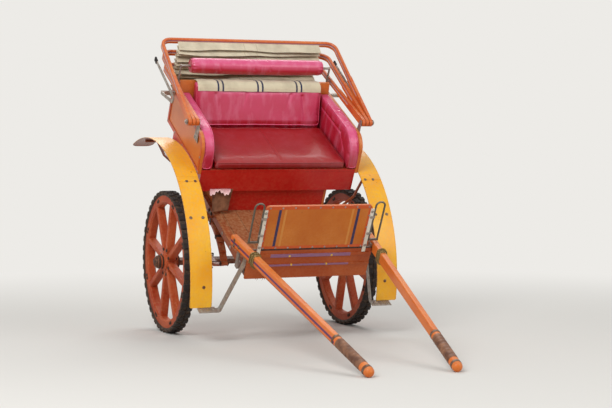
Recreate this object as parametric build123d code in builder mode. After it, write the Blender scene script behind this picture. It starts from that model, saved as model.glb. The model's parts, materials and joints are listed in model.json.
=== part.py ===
from build123d import *
import math
import os

os.makedirs("parts", exist_ok=True)

# A two-wheeled gig with a folded hood. Lengths are in mm and angles in degrees. The sizes below are
# those of the level carriage: X forward, Y to its left, Z up from the ground, the axle above X = 0.

# Wheels
AXLE_Z = 500
HALF_TRACK = 681
TYRE_THICK = 30
TYRE_WIDTH = 90
LUGS = 44
LUG_DEPTH = 11
LUG_LONG = 42
TREAD_GROOVE = 8
GROOVE_DEEP = 3
WALL_SHARE = 1 / 3
WALL_LAP = 3
RIM_DEPTH = 58
RIM_WIDTH = 64
RIM_CHAMFER = 10
SPOKES = 8
SPOKE_PHASE = 27
SPOKE_DEPTH = 58
SPOKE_THICK = 34
SPOKE_END_DEPTH = 56
SPOKE_END_THICK = 38
SPOKE_EDGE = 5
HUB_R = 62
HUB_NECK_R = 45
HUB_BARREL_HALF = 35
HUB_TAPER = 12
HUB_INNER = 69
HUB_OUTER = 87
CAP_R = 38
CAP_LENGTH = 16
CAP_TAPER = 6
SPINDLE_R = 16
RUNNING_FIT = 0.08

# Axle and elliptic springs
AXLE_HALF = 20
SHOULDER_GAP = 6
PAD_TALL = 25
SPRING_Y = 410
SPRING_WIDE = 50
SPRING_HALF_L = 350
SPRING_SAG = 125
LEAF = 7
LEAVES = 4
LEAF_STEP = 0.2
EYE_R = 15
PAD_HALF_L = 46
PLATE_THICK = 10

# Underframe
SILL_Z = 875
SILL_TALL = 50
SILL_WIDE = 50
FLOOR_THICK = 20
BEARER_WIDE = 45
BODY_REAR = -560
BODY_FRONT = 785
BOARD = 18

# Dash
FRONT_GAP = 4
FRONT_DROP = 8
DASH_HALF = 376
DASH_SPLIT = 1090
DASH_TOP = 1420
DASH_RIM = 26
MOULDING = 6
MOULDING_ROWS = (
    # (height over the panel's foot, how tall)
    (96, 12),
    (165, 23),
)
POST_WIDE = 24
POST_THICK = 6
POST_OVER = 14

# Seat
SEAT_FRONT = 50
SEAT_REAR = -620
SEAT_HALF = 575
SEAT_LOW = 1100
SEAT_DECK = 1250
SIDE_REAR = -730
SIDE_LOW = 1236
SIDE_TALL = 274
SIDE_BOARD = 18
SIDE_CORNER = 112
BACK_LEAN = 76
BACK_TALL = 328
BACK_BOARD = 22
BACK_FOOT = -576
CUSHION_FOOT = 100
CUSHION_BELLY = 115
CUSHION_BELLY_RISE = 98
CUSHION_HEAD = 90
CUSHION_CREST = 50
CUSHION_RISE = 22
SEAT_CUSHION_TALL = 64
SEAT_CUSHION_ROUND = 24
ARM_INNER = 500
ARM_RISE = 24
ARM_FRONT = 12
ARM_CORNER = 180
SOFT_GAP = 3
BOLSTER_R = 58
BOLSTER_HALF = 506
BOLSTER_RISE = 40
BOLSTER_BACK = 26
BOLSTER_PIN_R = 9
BOLSTER_PIN_IN = 36

# Folding hood
PIVOT_X = -80
PIVOT_RISE = 62
PIVOT_DROP = 90
PIVOT_PIN_R = 8
PIVOT_PLATE = 3
PIVOT_HEAD_R = 19
BOW_LENGTH = 870
BOW_THICK = 22
BOW_DEEP = 44
BOW_EDGE = 5
BOW_BROAD = 480
BOW_CORNER = 70
BOW_GAP = 5
BOW_TURNS = (14, 7, 0)
BOW_BOSS_R = 27
HOOD_CLOTH = 72
CLOTH_GAP = 0.3
HOOD_HANG = 17
REST_THICK = 6
REST_WIDE = 24
REST_FOOT_IN = 72
REST_ELBOW_IN = 452
REST_ELBOW_RISE = 8
REST_END_BACK = 826
REST_END_RISE = 72
REST_BEND = 24

# Fenders
FENDER_GAP = 5
FENDER_WIDE = 154
FENDER_THICK = 4
FENDER_TOP_X = -150
FENDER_TOP_Z = 1262
FENDER_FRONT_R = 929
FENDER_REAR_R = 1110
FENDER_FRONT_SWEEP = 73
FENDER_REAR_SWEEP = 47.5
FENDER_REAR_CORNER = 45
FENDER_FRONT_CORNER = 12
STAY_HALF = 7
STAY_STANDOFF = 28
STAY_OUT = 100
REAR_STAY_X = -830
REAR_KNEE_X = -700
REAR_FOOT_X = -520
FRONT_STAY_X = 120
FRONT_KNEE_X = 90
FRONT_FOOT_X = 60

# Shafts and irons
SHAFT_X = 620
SHAFT_Y = 486
SHAFT_Z = 1062
TIP_X = 2420
TIP_Y = 283
TIP_Z = 1286
SHAFT_TALL = 75
SHAFT_WIDE = 44
SHAFT_END_TALL = 64
SHAFT_END_WIDE = 40
SHAFT_EDGE = 9
ROUND_LENGTH = 400
ROUND_R = 32
LASHING_FROM = 290
LASHING_LONG = 74
LASHING_THICK = 9
LASHING_EDGE = 12
IRON_THICK = 6
IRON_WIDE = 38
IRON_X = 670
HANDLE_WIDE = 64
HANDLE_LOW = 1154
HANDLE_TALL = 290
HANDLE_R = 6
HANDLE_FLAT = 2
STEP_X = 736
STEP_WIDE = 48
STEP_Z = 596
STEP_KNEE = 60
STEP_INNER = 556
STEP_OUTER = 702
FLAP_THICK = 5
FLAP_OUTER = 471
FLAP_INNER = 322
FLAP_CLEAR = 25
STEP_BEND = 18
HANDLE_SIDES = 8

shaft_from = Vector(SHAFT_X, SHAFT_Y, SHAFT_Z)
shaft_to = Vector(TIP_X, TIP_Y, TIP_Z)
shaft_dir = (shaft_to - shaft_from).normalized()
shaft_length = (shaft_to - shaft_from).length
shaft_left = Vector(-shaft_dir.Y, shaft_dir.X, 0).normalized()


def shaft_inner_y(x):
    """The left shaft's inner face where it passes x."""
    return SHAFT_Y + (x - SHAFT_X) * shaft_dir.Y / shaft_dir.X - SHAFT_WIDE / 2 / shaft_left.Y


pieces = {}
wheel_pieces = {}

tyre_r = AXLE_Z
rim_r = tyre_r - TYRE_THICK
rim_inner_r = rim_r - RIM_DEPTH
floor_z = SILL_Z + SILL_TALL
sill_inner = SPRING_Y - SILL_WIDE / 2
sill_outer = SPRING_Y + SILL_WIDE / 2
dash_front = BODY_FRONT + BOARD
deck_z = SEAT_DECK + BOARD
side_inner = SEAT_HALF
side_outer = SEAT_HALF + SIDE_BOARD + MOULDING
side_top = SIDE_LOW + SIDE_TALL
back_top = deck_z + BACK_TALL
pivot_z = side_top + PIVOT_RISE


def side_plane(y):
    """X to the right and Z up, seen from the right; a negative extrusion goes to the left."""
    return Plane(origin=(0, y, 0), x_dir=(1, 0, 0), z_dir=(0, -1, 0))


def board(x_from, x_to, y_from, y_to, z_from, z_to):
    """A flat board or bar between two corners."""
    middle = ((x_from + x_to) / 2, (y_from + y_to) / 2, (z_from + z_to) / 2)
    with BuildPart() as piece:
        with Locations(middle):
            Box(x_to - x_from, y_to - y_from, z_to - z_from)
    return piece.part


def slab(points, y_from, y_to, rounding=0):
    """An outline in X and Z, as wide as from one y to the other."""
    with BuildPart() as piece:
        with BuildSketch(side_plane(y_from)) as outline:
            with BuildLine():
                Polyline(*points, close=True)
            make_face()
            if rounding:
                fillet(outline.vertices(), rounding)
        extrude(amount=y_from - y_to)
    return piece.part


def corner_board(x_from, x_to, z_from, z_to, radius, y_from, y_to):
    """An upright board whose upper front corner is round."""
    with BuildPart() as piece:
        with BuildSketch(side_plane(y_from)) as outline:
            with Locations(((x_from + x_to) / 2, (z_from + z_to) / 2)):
                Rectangle(x_to - x_from, z_to - z_from)
            fillet(outline.vertices().group_by(Axis.X)[-1].sort_by(Axis.Y)[-1], radius)
        extrude(amount=y_from - y_to)
    return piece.part


def square_bar(points, half_thick):
    """A square bar with mitred bends along a line of points."""
    with BuildPart() as piece:
        with BuildLine() as path:
            Polyline(*points)
        with BuildSketch(Plane(origin=path.line @ 0, z_dir=path.line % 0)):
            Rectangle(2 * half_thick, 2 * half_thick)
        sweep(transition=Transition.RIGHT)
    return piece.part


def forged_bar(points, half_thick, bend, sides):
    """A bar of so many sides, bent round along a line of points."""
    with BuildPart() as piece:
        with BuildLine() as path:
            FilletPolyline(*points, radius=bend)
        with BuildSketch(Plane(origin=path.line @ 0, z_dir=path.line % 0)):
            RegularPolygon(half_thick, sides, major_radius=False, rotation=180 / sides)
        sweep()
    return piece.part


def cross_rod(x, z, radius, y_from, y_to):
    """A round pin that lies across the carriage."""
    with BuildPart() as piece:
        with BuildSketch(side_plane(y_from)):
            with Locations((x, z)):
                Circle(radius)
        extrude(amount=y_from - y_to)
    return piece.part


def join(*solids):
    with BuildPart() as piece:
        for solid in solids:
            add(solid)
    return piece.part


def cut(solid, *tools):
    with BuildPart() as piece:
        add(solid)
        for tool in tools:
            add(tool, mode=Mode.SUBTRACT)
    return piece.part


def keep(name, solid, store=pieces):
    solid.label = name
    store[name] = solid


def keep_pair(name, left, store=pieces):
    """The left piece as given, and the right one as its mirror image."""
    keep(name + "_left", left, store)
    keep(name + "_right", mirror(left, about=Plane.XZ), store)


# Wheels: a turned hub, tapered spokes, a chamfered rim and a rubber tyre with shoulder lugs.
WHEEL = Plane(origin=(0, HALF_TRACK, AXLE_Z), x_dir=(1, 0, 0), z_dir=(0, 1, 0))
WHEEL_AXIS = Axis((0, HALF_TRACK, AXLE_Z), (0, 1, 0))
WHEEL_SECTION = Plane(origin=(0, HALF_TRACK, AXLE_Z))

SPOKE_SECTIONS = (
    # (distance from the axle, thickness in the wheel's plane, depth along the axle)
    (HUB_NECK_R, SPOKE_THICK, SPOKE_DEPTH),
    (rim_inner_r + RIM_CHAMFER, SPOKE_END_THICK, SPOKE_END_DEPTH),
)
with BuildPart() as spoke:
    for distance, thick, deep in SPOKE_SECTIONS:
        with BuildSketch(Plane.YZ.offset(distance)) as section:
            Rectangle(thick, deep)
            chamfer(section.vertices(), SPOKE_EDGE)
    loft()

with BuildPart() as wheel:
    with BuildSketch(WHEEL_SECTION):
        with BuildLine():
            Polyline(
                (0, -HUB_INNER),
                (HUB_NECK_R, -HUB_INNER),
                (HUB_NECK_R, -HUB_BARREL_HALF - HUB_TAPER),
                (HUB_R, -HUB_BARREL_HALF),
                (HUB_R, HUB_BARREL_HALF),
                (HUB_NECK_R, HUB_BARREL_HALF + HUB_TAPER),
                (HUB_NECK_R, HUB_OUTER),
                (CAP_R, HUB_OUTER),
                (CAP_R - CAP_TAPER, HUB_OUTER + CAP_LENGTH),
                (0, HUB_OUTER + CAP_LENGTH),
                close=True,
            )
        make_face()
    revolve(axis=WHEEL_AXIS)
    with BuildSketch(WHEEL_SECTION) as rim_section:
        with Locations(((rim_r + rim_inner_r) / 2, 0)):
            Rectangle(RIM_DEPTH, RIM_WIDTH)
        chamfer(rim_section.vertices().group_by(Axis.X)[0], RIM_CHAMFER)
    revolve(axis=WHEEL_AXIS)
    with Locations(WHEEL):
        with PolarLocations(0, SPOKES, start_angle=-SPOKE_PHASE):
            add(spoke.part)
    with BuildSketch(WHEEL.offset(-HUB_INNER)):
        Circle(SPINDLE_R + RUNNING_FIT)
    extrude(amount=HUB_INNER + HUB_OUTER, mode=Mode.SUBTRACT)
keep_pair("wheel", wheel.part, wheel_pieces)

shoulder = TYRE_WIDTH / 2
tread_r = tyre_r - LUG_DEPTH
lug_pitch = 360 / LUGS
lug_top = math.sqrt(tyre_r**2 - (LUG_LONG / 2) ** 2)
core_r = tread_r - GROOVE_DEEP
wall_r = rim_r + TYRE_THICK * WALL_SHARE
wall_top = wall_r + WALL_LAP
with BuildPart() as tyre:
    with BuildSketch(WHEEL_SECTION):
        with BuildLine():
            Polyline(
                (rim_r, -RIM_WIDTH / 2),
                (wall_r, -shoulder),
                (wall_top, -shoulder),
                (wall_top, shoulder),
                (wall_r, shoulder),
                (rim_r, RIM_WIDTH / 2),
                close=True,
            )
        make_face()
    revolve(axis=WHEEL_AXIS)
    with BuildSketch(WHEEL.offset(-shoulder)):
        RegularPolygon(core_r, LUGS)
        Circle((wall_r + wall_top) / 2, mode=Mode.SUBTRACT)
    extrude(amount=TYRE_WIDTH)
    for low, phase in ((-shoulder, 0), (TREAD_GROOVE / 2, lug_pitch / 2)):
        with BuildSketch(WHEEL.offset(low)):
            RegularPolygon(tread_r, LUGS, rotation=phase)
            with PolarLocations((wall_top + lug_top) / 2, LUGS, start_angle=phase):
                Rectangle(lug_top - wall_top, LUG_LONG)
            Circle((wall_r + wall_top) / 2, mode=Mode.SUBTRACT)
        extrude(amount=shoulder - TREAD_GROOVE / 2)
keep_pair("tyre", tyre.part, wheel_pieces)

# Axle: a square bar with round spindles, a pad under each spring and its clamp plate.
shoulder_y = HALF_TRACK - HUB_INNER - SHOULDER_GAP
spindle_end = HALF_TRACK + HUB_OUTER - SHOULDER_GAP / 2
pad_y = (SPRING_Y - SPRING_WIDE / 2 - PLATE_THICK, SPRING_Y + SPRING_WIDE / 2 + PLATE_THICK)
axle_top = AXLE_Z + AXLE_HALF
axle_low = AXLE_Z - AXLE_HALF
pad = join(
    board(-PAD_HALF_L, PAD_HALF_L, *pad_y, axle_top, axle_top + PAD_TALL),
    board(-PAD_HALF_L, PAD_HALF_L, *pad_y, axle_low - PLATE_THICK, axle_low),
)
axle = join(
    board(-AXLE_HALF, AXLE_HALF, -shoulder_y, shoulder_y, axle_low, axle_top),
    cross_rod(0, AXLE_Z, SPINDLE_R, -spindle_end, spindle_end),
    pad,
    mirror(pad, about=Plane.XZ),
)

# Springs: two packs of leaves, joined at their eyes, between the axle's pad and the sill.
pack = LEAVES * LEAF
spring_z = axle_top + PAD_TALL + pack + SPRING_SAG
leaf_r = (SPRING_HALF_L**2 + SPRING_SAG**2) / (2 * SPRING_SAG)
leaf_half_angle = math.degrees(math.asin(SPRING_HALF_L / leaf_r))
spring_y = SPRING_Y - SPRING_WIDE / 2


with BuildPart() as spring:
    for up in (-1, 1):
        centre = (0, spring_z + up * (SPRING_SAG - leaf_r))
        for number in range(LEAVES):
            # Leaf 0 is the long one that ends in the eyes; the others lie on its back.
            half = leaf_half_angle * (1 - LEAF_STEP * number)
            inner = leaf_r + number * LEAF
            with BuildSketch(side_plane(spring_y)):
                with BuildLine():
                    low = CenterArc(centre, inner, up * 90 - half, 2 * half)
                    high = CenterArc(centre, inner + LEAF, up * 90 - half, 2 * half)
                    Line(low @ 0, high @ 0)
                    Line(low @ 1, high @ 1)
                make_face()
            extrude(amount=-SPRING_WIDE)
    with BuildSketch(side_plane(spring_y)):
        with Locations((-SPRING_HALF_L, spring_z), (SPRING_HALF_L, spring_z)):
            Circle(EYE_R)
    extrude(amount=-SPRING_WIDE)
    seat_z = spring_z + SPRING_SAG + pack
    with Locations((0, SPRING_Y, (seat_z - LEAF + SILL_Z) / 2)):
        Box(2 * PAD_HALF_L, SPRING_WIDE, SILL_Z - seat_z + LEAF)
keep("axle", cut(axle, spring.part, mirror(spring.part, about=Plane.XZ)))
keep_pair("spring", spring.part)

# Underframe and the tub above it.
keep_pair("sill", board(BODY_REAR, BODY_FRONT, sill_inner, sill_outer, SILL_Z, floor_z))
bearer_top = floor_z - FLOOR_THICK
bearers = [
    board(x, x + BEARER_WIDE, -sill_inner, sill_inner, SILL_Z, bearer_top)
    for x in (BODY_REAR, -BEARER_WIDE / 2, BODY_FRONT - BEARER_WIDE)
]
keep("floor", join(board(BODY_REAR, BODY_FRONT, -sill_inner, sill_inner, bearer_top, floor_z), *bearers))

BOARDS = {
    # name: (x from, x to, y from, y to, z from, z to)
    "riser_front": (0, BOARD, -sill_inner, sill_inner, floor_z, SEAT_LOW),
    "riser_rear": (BODY_REAR, BODY_REAR + BOARD, -sill_inner, sill_inner, floor_z, SEAT_LOW),
    "seat_bottom": (SEAT_REAR, SEAT_FRONT - BOARD, -SEAT_HALF, SEAT_HALF, SEAT_LOW, SEAT_LOW + BOARD),
    "seat_front": (SEAT_FRONT - BOARD, SEAT_FRONT, -SEAT_HALF, SEAT_HALF, SEAT_LOW, SEAT_DECK),
    "seat_rear": (
        SEAT_REAR, SEAT_REAR + BOARD, BOARD - SEAT_HALF, SEAT_HALF - BOARD, SEAT_LOW + BOARD, SEAT_DECK,
    ),
    "seat_deck": (SEAT_REAR, SEAT_FRONT, -SEAT_HALF, SEAT_HALF, SEAT_DECK, deck_z),
}
for name, corners in BOARDS.items():
    keep(name, board(*corners))

PAIRED_BOARDS = {
    # name: (x from, x to, y from, y to, z from, z to)
    "riser_side": (BODY_REAR, BOARD, sill_inner, sill_inner + BOARD, floor_z, SEAT_LOW),
    "seat_side": (
        SEAT_REAR, SEAT_FRONT - BOARD, SEAT_HALF - BOARD, SEAT_HALF, SEAT_LOW + BOARD, SEAT_DECK,
    ),
}
for name, corners in PAIRED_BOARDS.items():
    keep_pair(name, board(*corners))

# Dash: a wide lower panel with two mouldings, and a framed panel above it.
front_half = shaft_inner_y(dash_front + MOULDING) - FRONT_GAP
front_low = SILL_Z - FRONT_DROP
keep("front_panel", join(
    board(BODY_FRONT, dash_front, -front_half, front_half, front_low, DASH_SPLIT),
    *[
        board(
            dash_front, dash_front + MOULDING, -front_half, front_half,
            front_low + rise, front_low + rise + tall,
        )
        for rise, tall in MOULDING_ROWS
    ],
))
dash_z = (DASH_SPLIT + DASH_TOP) / 2
with BuildPart() as dash:
    with BuildSketch(Plane.YZ.offset(BODY_FRONT)) as dash_outline:
        with Locations((0, dash_z)):
            Rectangle(2 * DASH_HALF, DASH_TOP - DASH_SPLIT)
        fillet(dash_outline.vertices().group_by(Axis.Y)[-1], DASH_RIM)
    extrude(amount=BOARD)
    with BuildSketch(Plane.YZ.offset(BODY_FRONT)):
        with Locations((0, dash_z)):
            Rectangle(2 * (DASH_HALF - DASH_RIM), DASH_TOP - DASH_SPLIT - 2 * DASH_RIM)
    extrude(amount=MOULDING, mode=Mode.SUBTRACT)
keep("dash_panel", dash.part)
post_y = (DASH_HALF + POST_OVER - POST_WIDE, DASH_HALF + POST_OVER)
moulding_top = front_low + sum(MOULDING_ROWS[-1])
keep_pair("dash_post", board(
    dash_front, dash_front + POST_THICK, *post_y, moulding_top + FLAP_THICK, DASH_TOP - DASH_RIM,
))

# Seat: framed side panels, leaning back board, cushions, arm pads and the bolster on its irons.
side_x = (SIDE_REAR, SEAT_FRONT)
side_z = (SIDE_LOW, side_top)
pocket_x = (SIDE_REAR + DASH_RIM, SEAT_FRONT - DASH_RIM)
pocket_z = (SIDE_LOW + DASH_RIM, side_top - DASH_RIM)
side_board = corner_board(*side_x, *side_z, SIDE_CORNER, side_inner, side_outer)
side_pocket = corner_board(
    *pocket_x, *pocket_z, SIDE_CORNER - DASH_RIM, side_inner + SIDE_BOARD, side_outer
)
side_panel = cut(side_board, side_pocket)
keep_pair("side_panel", side_panel)

lean = BACK_LEAN / BACK_TALL


def back_x(z):
    """The front face of the leaning back board."""
    return BACK_FOOT - (z - deck_z) * lean


keep("back_board", slab(
    [
        (back_x(deck_z) - BACK_BOARD, deck_z),
        (back_x(deck_z), deck_z),
        (back_x(back_top), back_top),
        (back_x(back_top) - BACK_BOARD, back_top),
    ],
    -SEAT_HALF, SEAT_HALF,
))
cushion_half = ARM_INNER - SOFT_GAP
belly_z = deck_z + CUSHION_BELLY_RISE
back_cushion = slab(
    [
        (back_x(deck_z), deck_z),
        (back_x(deck_z) + CUSHION_FOOT, deck_z),
        (back_x(belly_z) + CUSHION_BELLY, belly_z),
        (back_x(back_top) + CUSHION_HEAD, back_top),
        (back_x(back_top) + CUSHION_CREST, back_top + CUSHION_RISE),
        (back_x(back_top), back_top),
    ],
    -cushion_half, cushion_half,
)
keep("back_cushion", back_cushion)
with BuildPart() as seat_cushion:
    with Locations(((back_x(deck_z) + SEAT_FRONT) / 2, 0, deck_z + SEAT_CUSHION_TALL / 2)):
        Box(SEAT_FRONT - back_x(deck_z) + SEAT_CUSHION_ROUND, 2 * cushion_half, SEAT_CUSHION_TALL)
    front_edges = seat_cushion.edges().filter_by(Axis.Y).group_by(Axis.X)[-1]
    fillet(front_edges, SEAT_CUSHION_ROUND)
keep("seat_cushion", cut(seat_cushion.part, back_cushion, pieces["back_board"]))

arm_front = SEAT_FRONT + ARM_FRONT
arm_top = side_top + ARM_RISE
far_rear = 2 * SIDE_REAR
behind_back = slab(
    [
        (back_x(deck_z), deck_z),
        (back_x(arm_top), arm_top),
        (far_rear, arm_top),
        (far_rear, deck_z),
    ],
    ARM_INNER, side_outer,
)
arm_block = corner_board(SIDE_REAR, arm_front, deck_z, arm_top, ARM_CORNER, ARM_INNER, side_outer)
arm = cut(arm_block, side_board, behind_back)
keep_pair("arm_pad", arm)

bolster_z = back_top + BOLSTER_RISE + BOLSTER_R
bolster_x = back_x(back_top) - BACK_BOARD - BOLSTER_BACK
pin_from = BOLSTER_HALF - BOLSTER_PIN_IN
iron_y = (side_inner - IRON_THICK, side_inner)
bolster_pin = cross_rod(bolster_x, bolster_z, BOLSTER_PIN_R, pin_from, iron_y[1])
bolster_iron = join(
    slab(
        [
            (bolster_x - 2 * BOLSTER_PIN_R, side_top - PIVOT_DROP),
            (bolster_x + BOLSTER_PIN_R, side_top - PIVOT_DROP),
            (bolster_x + BOLSTER_PIN_R, bolster_z + BOLSTER_PIN_R),
            (bolster_x - BOLSTER_PIN_R, bolster_z + BOLSTER_PIN_R),
        ],
        *iron_y,
    ),
    bolster_pin,
)
keep_pair("bolster_iron", bolster_iron)
keep("bolster", cut(
    cross_rod(bolster_x, bolster_z, BOLSTER_R, -BOLSTER_HALF, BOLSTER_HALF),
    bolster_pin,
    mirror(bolster_pin, about=Plane.XZ),
))

# Hood: three bows that turn on one pin at each side, with the cloth folded inside their rails.
bow_planes = []
bow_y = side_outer + PIVOT_PLATE + BOW_GAP
for _ in BOW_TURNS:
    bow_planes.append(bow_y)
    bow_y += BOW_THICK + BOW_GAP
bow_planes.reverse()
pin_end = bow_planes[0] + BOW_THICK + BOW_GAP
with BuildPart() as hood_pivot:
    with BuildSketch(side_plane(side_outer)):
        with BuildLine():
            Polyline(
                (PIVOT_X - 2 * BOW_BOSS_R, side_top - PIVOT_DROP),
                (PIVOT_X + BOW_BOSS_R, side_top - PIVOT_DROP),
                (PIVOT_X + PIVOT_HEAD_R, pivot_z),
                (PIVOT_X - PIVOT_HEAD_R, pivot_z),
                close=True,
            )
        make_face()
        with Locations((PIVOT_X, pivot_z)):
            Circle(PIVOT_HEAD_R)
    extrude(amount=-PIVOT_PLATE)
    add(cross_rod(PIVOT_X, pivot_z, PIVOT_PIN_R, side_outer, pin_end))
    add(cross_rod(PIVOT_X, pivot_z, 2 * PIVOT_PIN_R, pin_end, pin_end + IRON_THICK))
    add(board(
        PIVOT_X - BOW_BOSS_R, PIVOT_X + BOW_BOSS_R / 2,
        side_inner + SIDE_BOARD, side_outer,
        side_top - PIVOT_DROP, side_top - PIVOT_DROP / 2,
    ))
keep_pair("hood_pivot", cut(hood_pivot.part, side_panel, arm))

pin_hole = cross_rod(PIVOT_X, pivot_z, PIVOT_PIN_R + RUNNING_FIT, -pin_end, pin_end)
for number, (turn, y) in enumerate(zip(BOW_TURNS, bow_planes), start=1):
    aft = math.radians(180 - turn)
    along = Vector(math.cos(aft), 0, math.sin(aft))
    middle = y + BOW_THICK / 2
    pivot_left = Vector(PIVOT_X, middle, pivot_z)
    pivot_right = Vector(PIVOT_X, -middle, pivot_z)
    with BuildPart() as bow:
        with BuildLine() as path:
            FilletPolyline(
                pivot_left,
                pivot_left + along * BOW_LENGTH,
                pivot_right + along * BOW_LENGTH,
                pivot_right,
                radius=BOW_CORNER,
            )
        with BuildSketch(Plane(origin=pivot_left, x_dir=(0, 1, 0), z_dir=along)) as section:
            Rectangle(BOW_THICK, BOW_DEEP)
            chamfer(section.vertices(), BOW_EDGE)
        sweep()
        for side in (y, -y - BOW_THICK):
            with BuildSketch(Plane(origin=(PIVOT_X, side, pivot_z), x_dir=along, z_dir=(0, 1, 0))):
                with BuildLine():
                    Polyline(
                        (0, -BOW_BOSS_R),
                        (BOW_BROAD, -BOW_DEEP / 2),
                        (BOW_BROAD, BOW_DEEP / 2),
                        (0, BOW_BOSS_R),
                        close=True,
                    )
                make_face()
                Circle(BOW_BOSS_R)
            extrude(amount=BOW_THICK)
        add(pin_hole, mode=Mode.SUBTRACT)
    keep("hood_bow_" + str(number), bow.part)

cloth_r = BOW_LENGTH - BOW_THICK / 2 - CLOTH_GAP
cloth_half = bow_planes[-1] + BOW_THICK / 2 - BOW_CORNER
with BuildPart() as cloth:
    with BuildSketch(side_plane(-cloth_half)):
        with BuildLine():
            outer = CenterArc((PIVOT_X, pivot_z), cloth_r, 180 - BOW_TURNS[0], BOW_TURNS[0] + HOOD_HANG)
            inner = CenterArc(
                (PIVOT_X, pivot_z), cloth_r - HOOD_CLOTH, 180 - BOW_TURNS[0], BOW_TURNS[0] + HOOD_HANG
            )
            Line(outer @ 0, inner @ 0)
            Line(outer @ 1, inner @ 1)
        make_face()
    extrude(amount=-2 * cloth_half)
keep("hood_canvas", cloth.part)

rest_y = pin_end + IRON_THICK
rest_foot = (SIDE_REAR + REST_FOOT_IN, side_top - DASH_RIM / 2)
rest_elbow = (SIDE_REAR + REST_ELBOW_IN, pivot_z + REST_ELBOW_RISE)
rest_end = (PIVOT_X - REST_END_BACK, pivot_z + REST_END_RISE)
with BuildPart() as hood_rest:
    with BuildSketch(side_plane(rest_y)):
        with BuildLine():
            FilletPolyline(rest_foot, rest_elbow, rest_end, radius=REST_BEND)
        trace(line_width=REST_WIDE)
    extrude(amount=-REST_THICK)
    with Locations((rest_foot[0], (side_outer + rest_y + REST_THICK) / 2, rest_foot[1])):
        Box(REST_WIDE, rest_y + REST_THICK - side_outer, REST_WIDE)
keep_pair("hood_rest", hood_rest.part)

# Fenders: a curved sheet over each wheel, front and rear arcs meeting at its top, on two stays.
fender_inner = side_outer + FENDER_GAP
front_centre = (FENDER_TOP_X, FENDER_TOP_Z - FENDER_FRONT_R)
rear_centre = (FENDER_TOP_X, FENDER_TOP_Z - FENDER_REAR_R)
with BuildPart() as fender:
    with BuildSketch(side_plane(fender_inner)):
        with BuildLine():
            front_out = CenterArc(front_centre, FENDER_FRONT_R, 90, -FENDER_FRONT_SWEEP)
            front_in = CenterArc(front_centre, FENDER_FRONT_R - FENDER_THICK, 90, -FENDER_FRONT_SWEEP)
            rear_out = CenterArc(rear_centre, FENDER_REAR_R, 90, FENDER_REAR_SWEEP)
            rear_in = CenterArc(rear_centre, FENDER_REAR_R - FENDER_THICK, 90, FENDER_REAR_SWEEP)
            Line(front_out @ 1, front_in @ 1)
            Line(rear_out @ 1, rear_in @ 1)
        make_face()
    extrude(amount=-FENDER_WIDE)
    for end, corner in ((0, FENDER_REAR_CORNER), (-1, FENDER_FRONT_CORNER)):
        end_face = fender.faces().filter_by(GeomType.PLANE).sort_by(Axis.X)[end]
        fillet(end_face.edges().filter_by(Axis.Y, reverse=True), corner)


def under_fender(x):
    """The height of a stay's middle where it lies against the sheet's underside."""
    radius = FENDER_FRONT_R if x > FENDER_TOP_X else FENDER_REAR_R
    reach = radius - FENDER_THICK - STAY_HALF + 1
    return FENDER_TOP_Z - radius + math.sqrt(reach**2 - (x - FENDER_TOP_X) ** 2)


stay_out = fender_inner + STAY_OUT
stay_in = fender_inner + STAY_HALF
stay_down = fender_inner - 2 * STAY_HALF
stays = []
STAYS = (
    # (where it meets the sheet, its knee, its foot on the sill), all along X
    (REAR_STAY_X, REAR_KNEE_X, REAR_FOOT_X),
    (FRONT_STAY_X, FRONT_KNEE_X, FRONT_FOOT_X),
)
for x, knee_x, sill_x in STAYS:
    top = under_fender(x)
    knee_z = (top + floor_z) / 2
    sill_z = floor_z - SILL_TALL / 2
    stays.append(square_bar(
        [
            (x, stay_out, top),
            (x, stay_in, top),
            (knee_x, stay_down, knee_z),
            (sill_x, sill_outer + STAY_STANDOFF, sill_z),
            (sill_x, sill_outer, sill_z),
        ],
        STAY_HALF,
    ))
fender_solid = join(fender.part, *stays)
keep_pair("fender", fender_solid)

# Shafts: tapered poles that run forward and inward to a round end, wrapped at the tip.
square_length = shaft_length - ROUND_LENGTH


def across_shaft(distance):
    """A plane across the left shaft; its x points left and its y up."""
    return Plane(origin=shaft_from + shaft_dir * distance, x_dir=shaft_left * -1, z_dir=shaft_dir)


with BuildPart() as shaft:
    with BuildSketch(across_shaft(0)):
        RectangleRounded(SHAFT_WIDE, SHAFT_TALL, SHAFT_EDGE)
    with BuildSketch(across_shaft(square_length)):
        RectangleRounded(SHAFT_END_WIDE, SHAFT_END_TALL, SHAFT_EDGE)
    loft()
    with BuildSketch(across_shaft(square_length)):
        Circle(ROUND_R)
    extrude(amount=ROUND_LENGTH)
    with Locations(shaft_to):
        Sphere(ROUND_R)
keep_pair("shaft", shaft.part)

with BuildPart() as lashing:
    with BuildSketch(across_shaft(LASHING_FROM)) as turns:
        Rectangle(SHAFT_WIDE + 2 * LASHING_THICK, SHAFT_TALL + 2 * LASHING_THICK)
        chamfer(turns.vertices(), LASHING_EDGE)
    extrude(amount=LASHING_LONG)
    add(shaft.part, mode=Mode.SUBTRACT)
keep_pair("lashing", lashing.part)

iron_x = (IRON_X - IRON_WIDE / 2, IRON_X + IRON_WIDE / 2)
iron_inner = shaft_inner_y(iron_x[1]) - IRON_THICK
iron_top = SHAFT_Z + SHAFT_TALL / 4
shaft_iron = join(
    board(*iron_x, iron_inner, shaft_inner_y(iron_x[0]), SILL_Z, iron_top),
    board(*iron_x, sill_outer, iron_inner, SILL_Z, floor_z),
)
keep_pair("shaft_iron", cut(shaft_iron, shaft.part))

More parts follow.
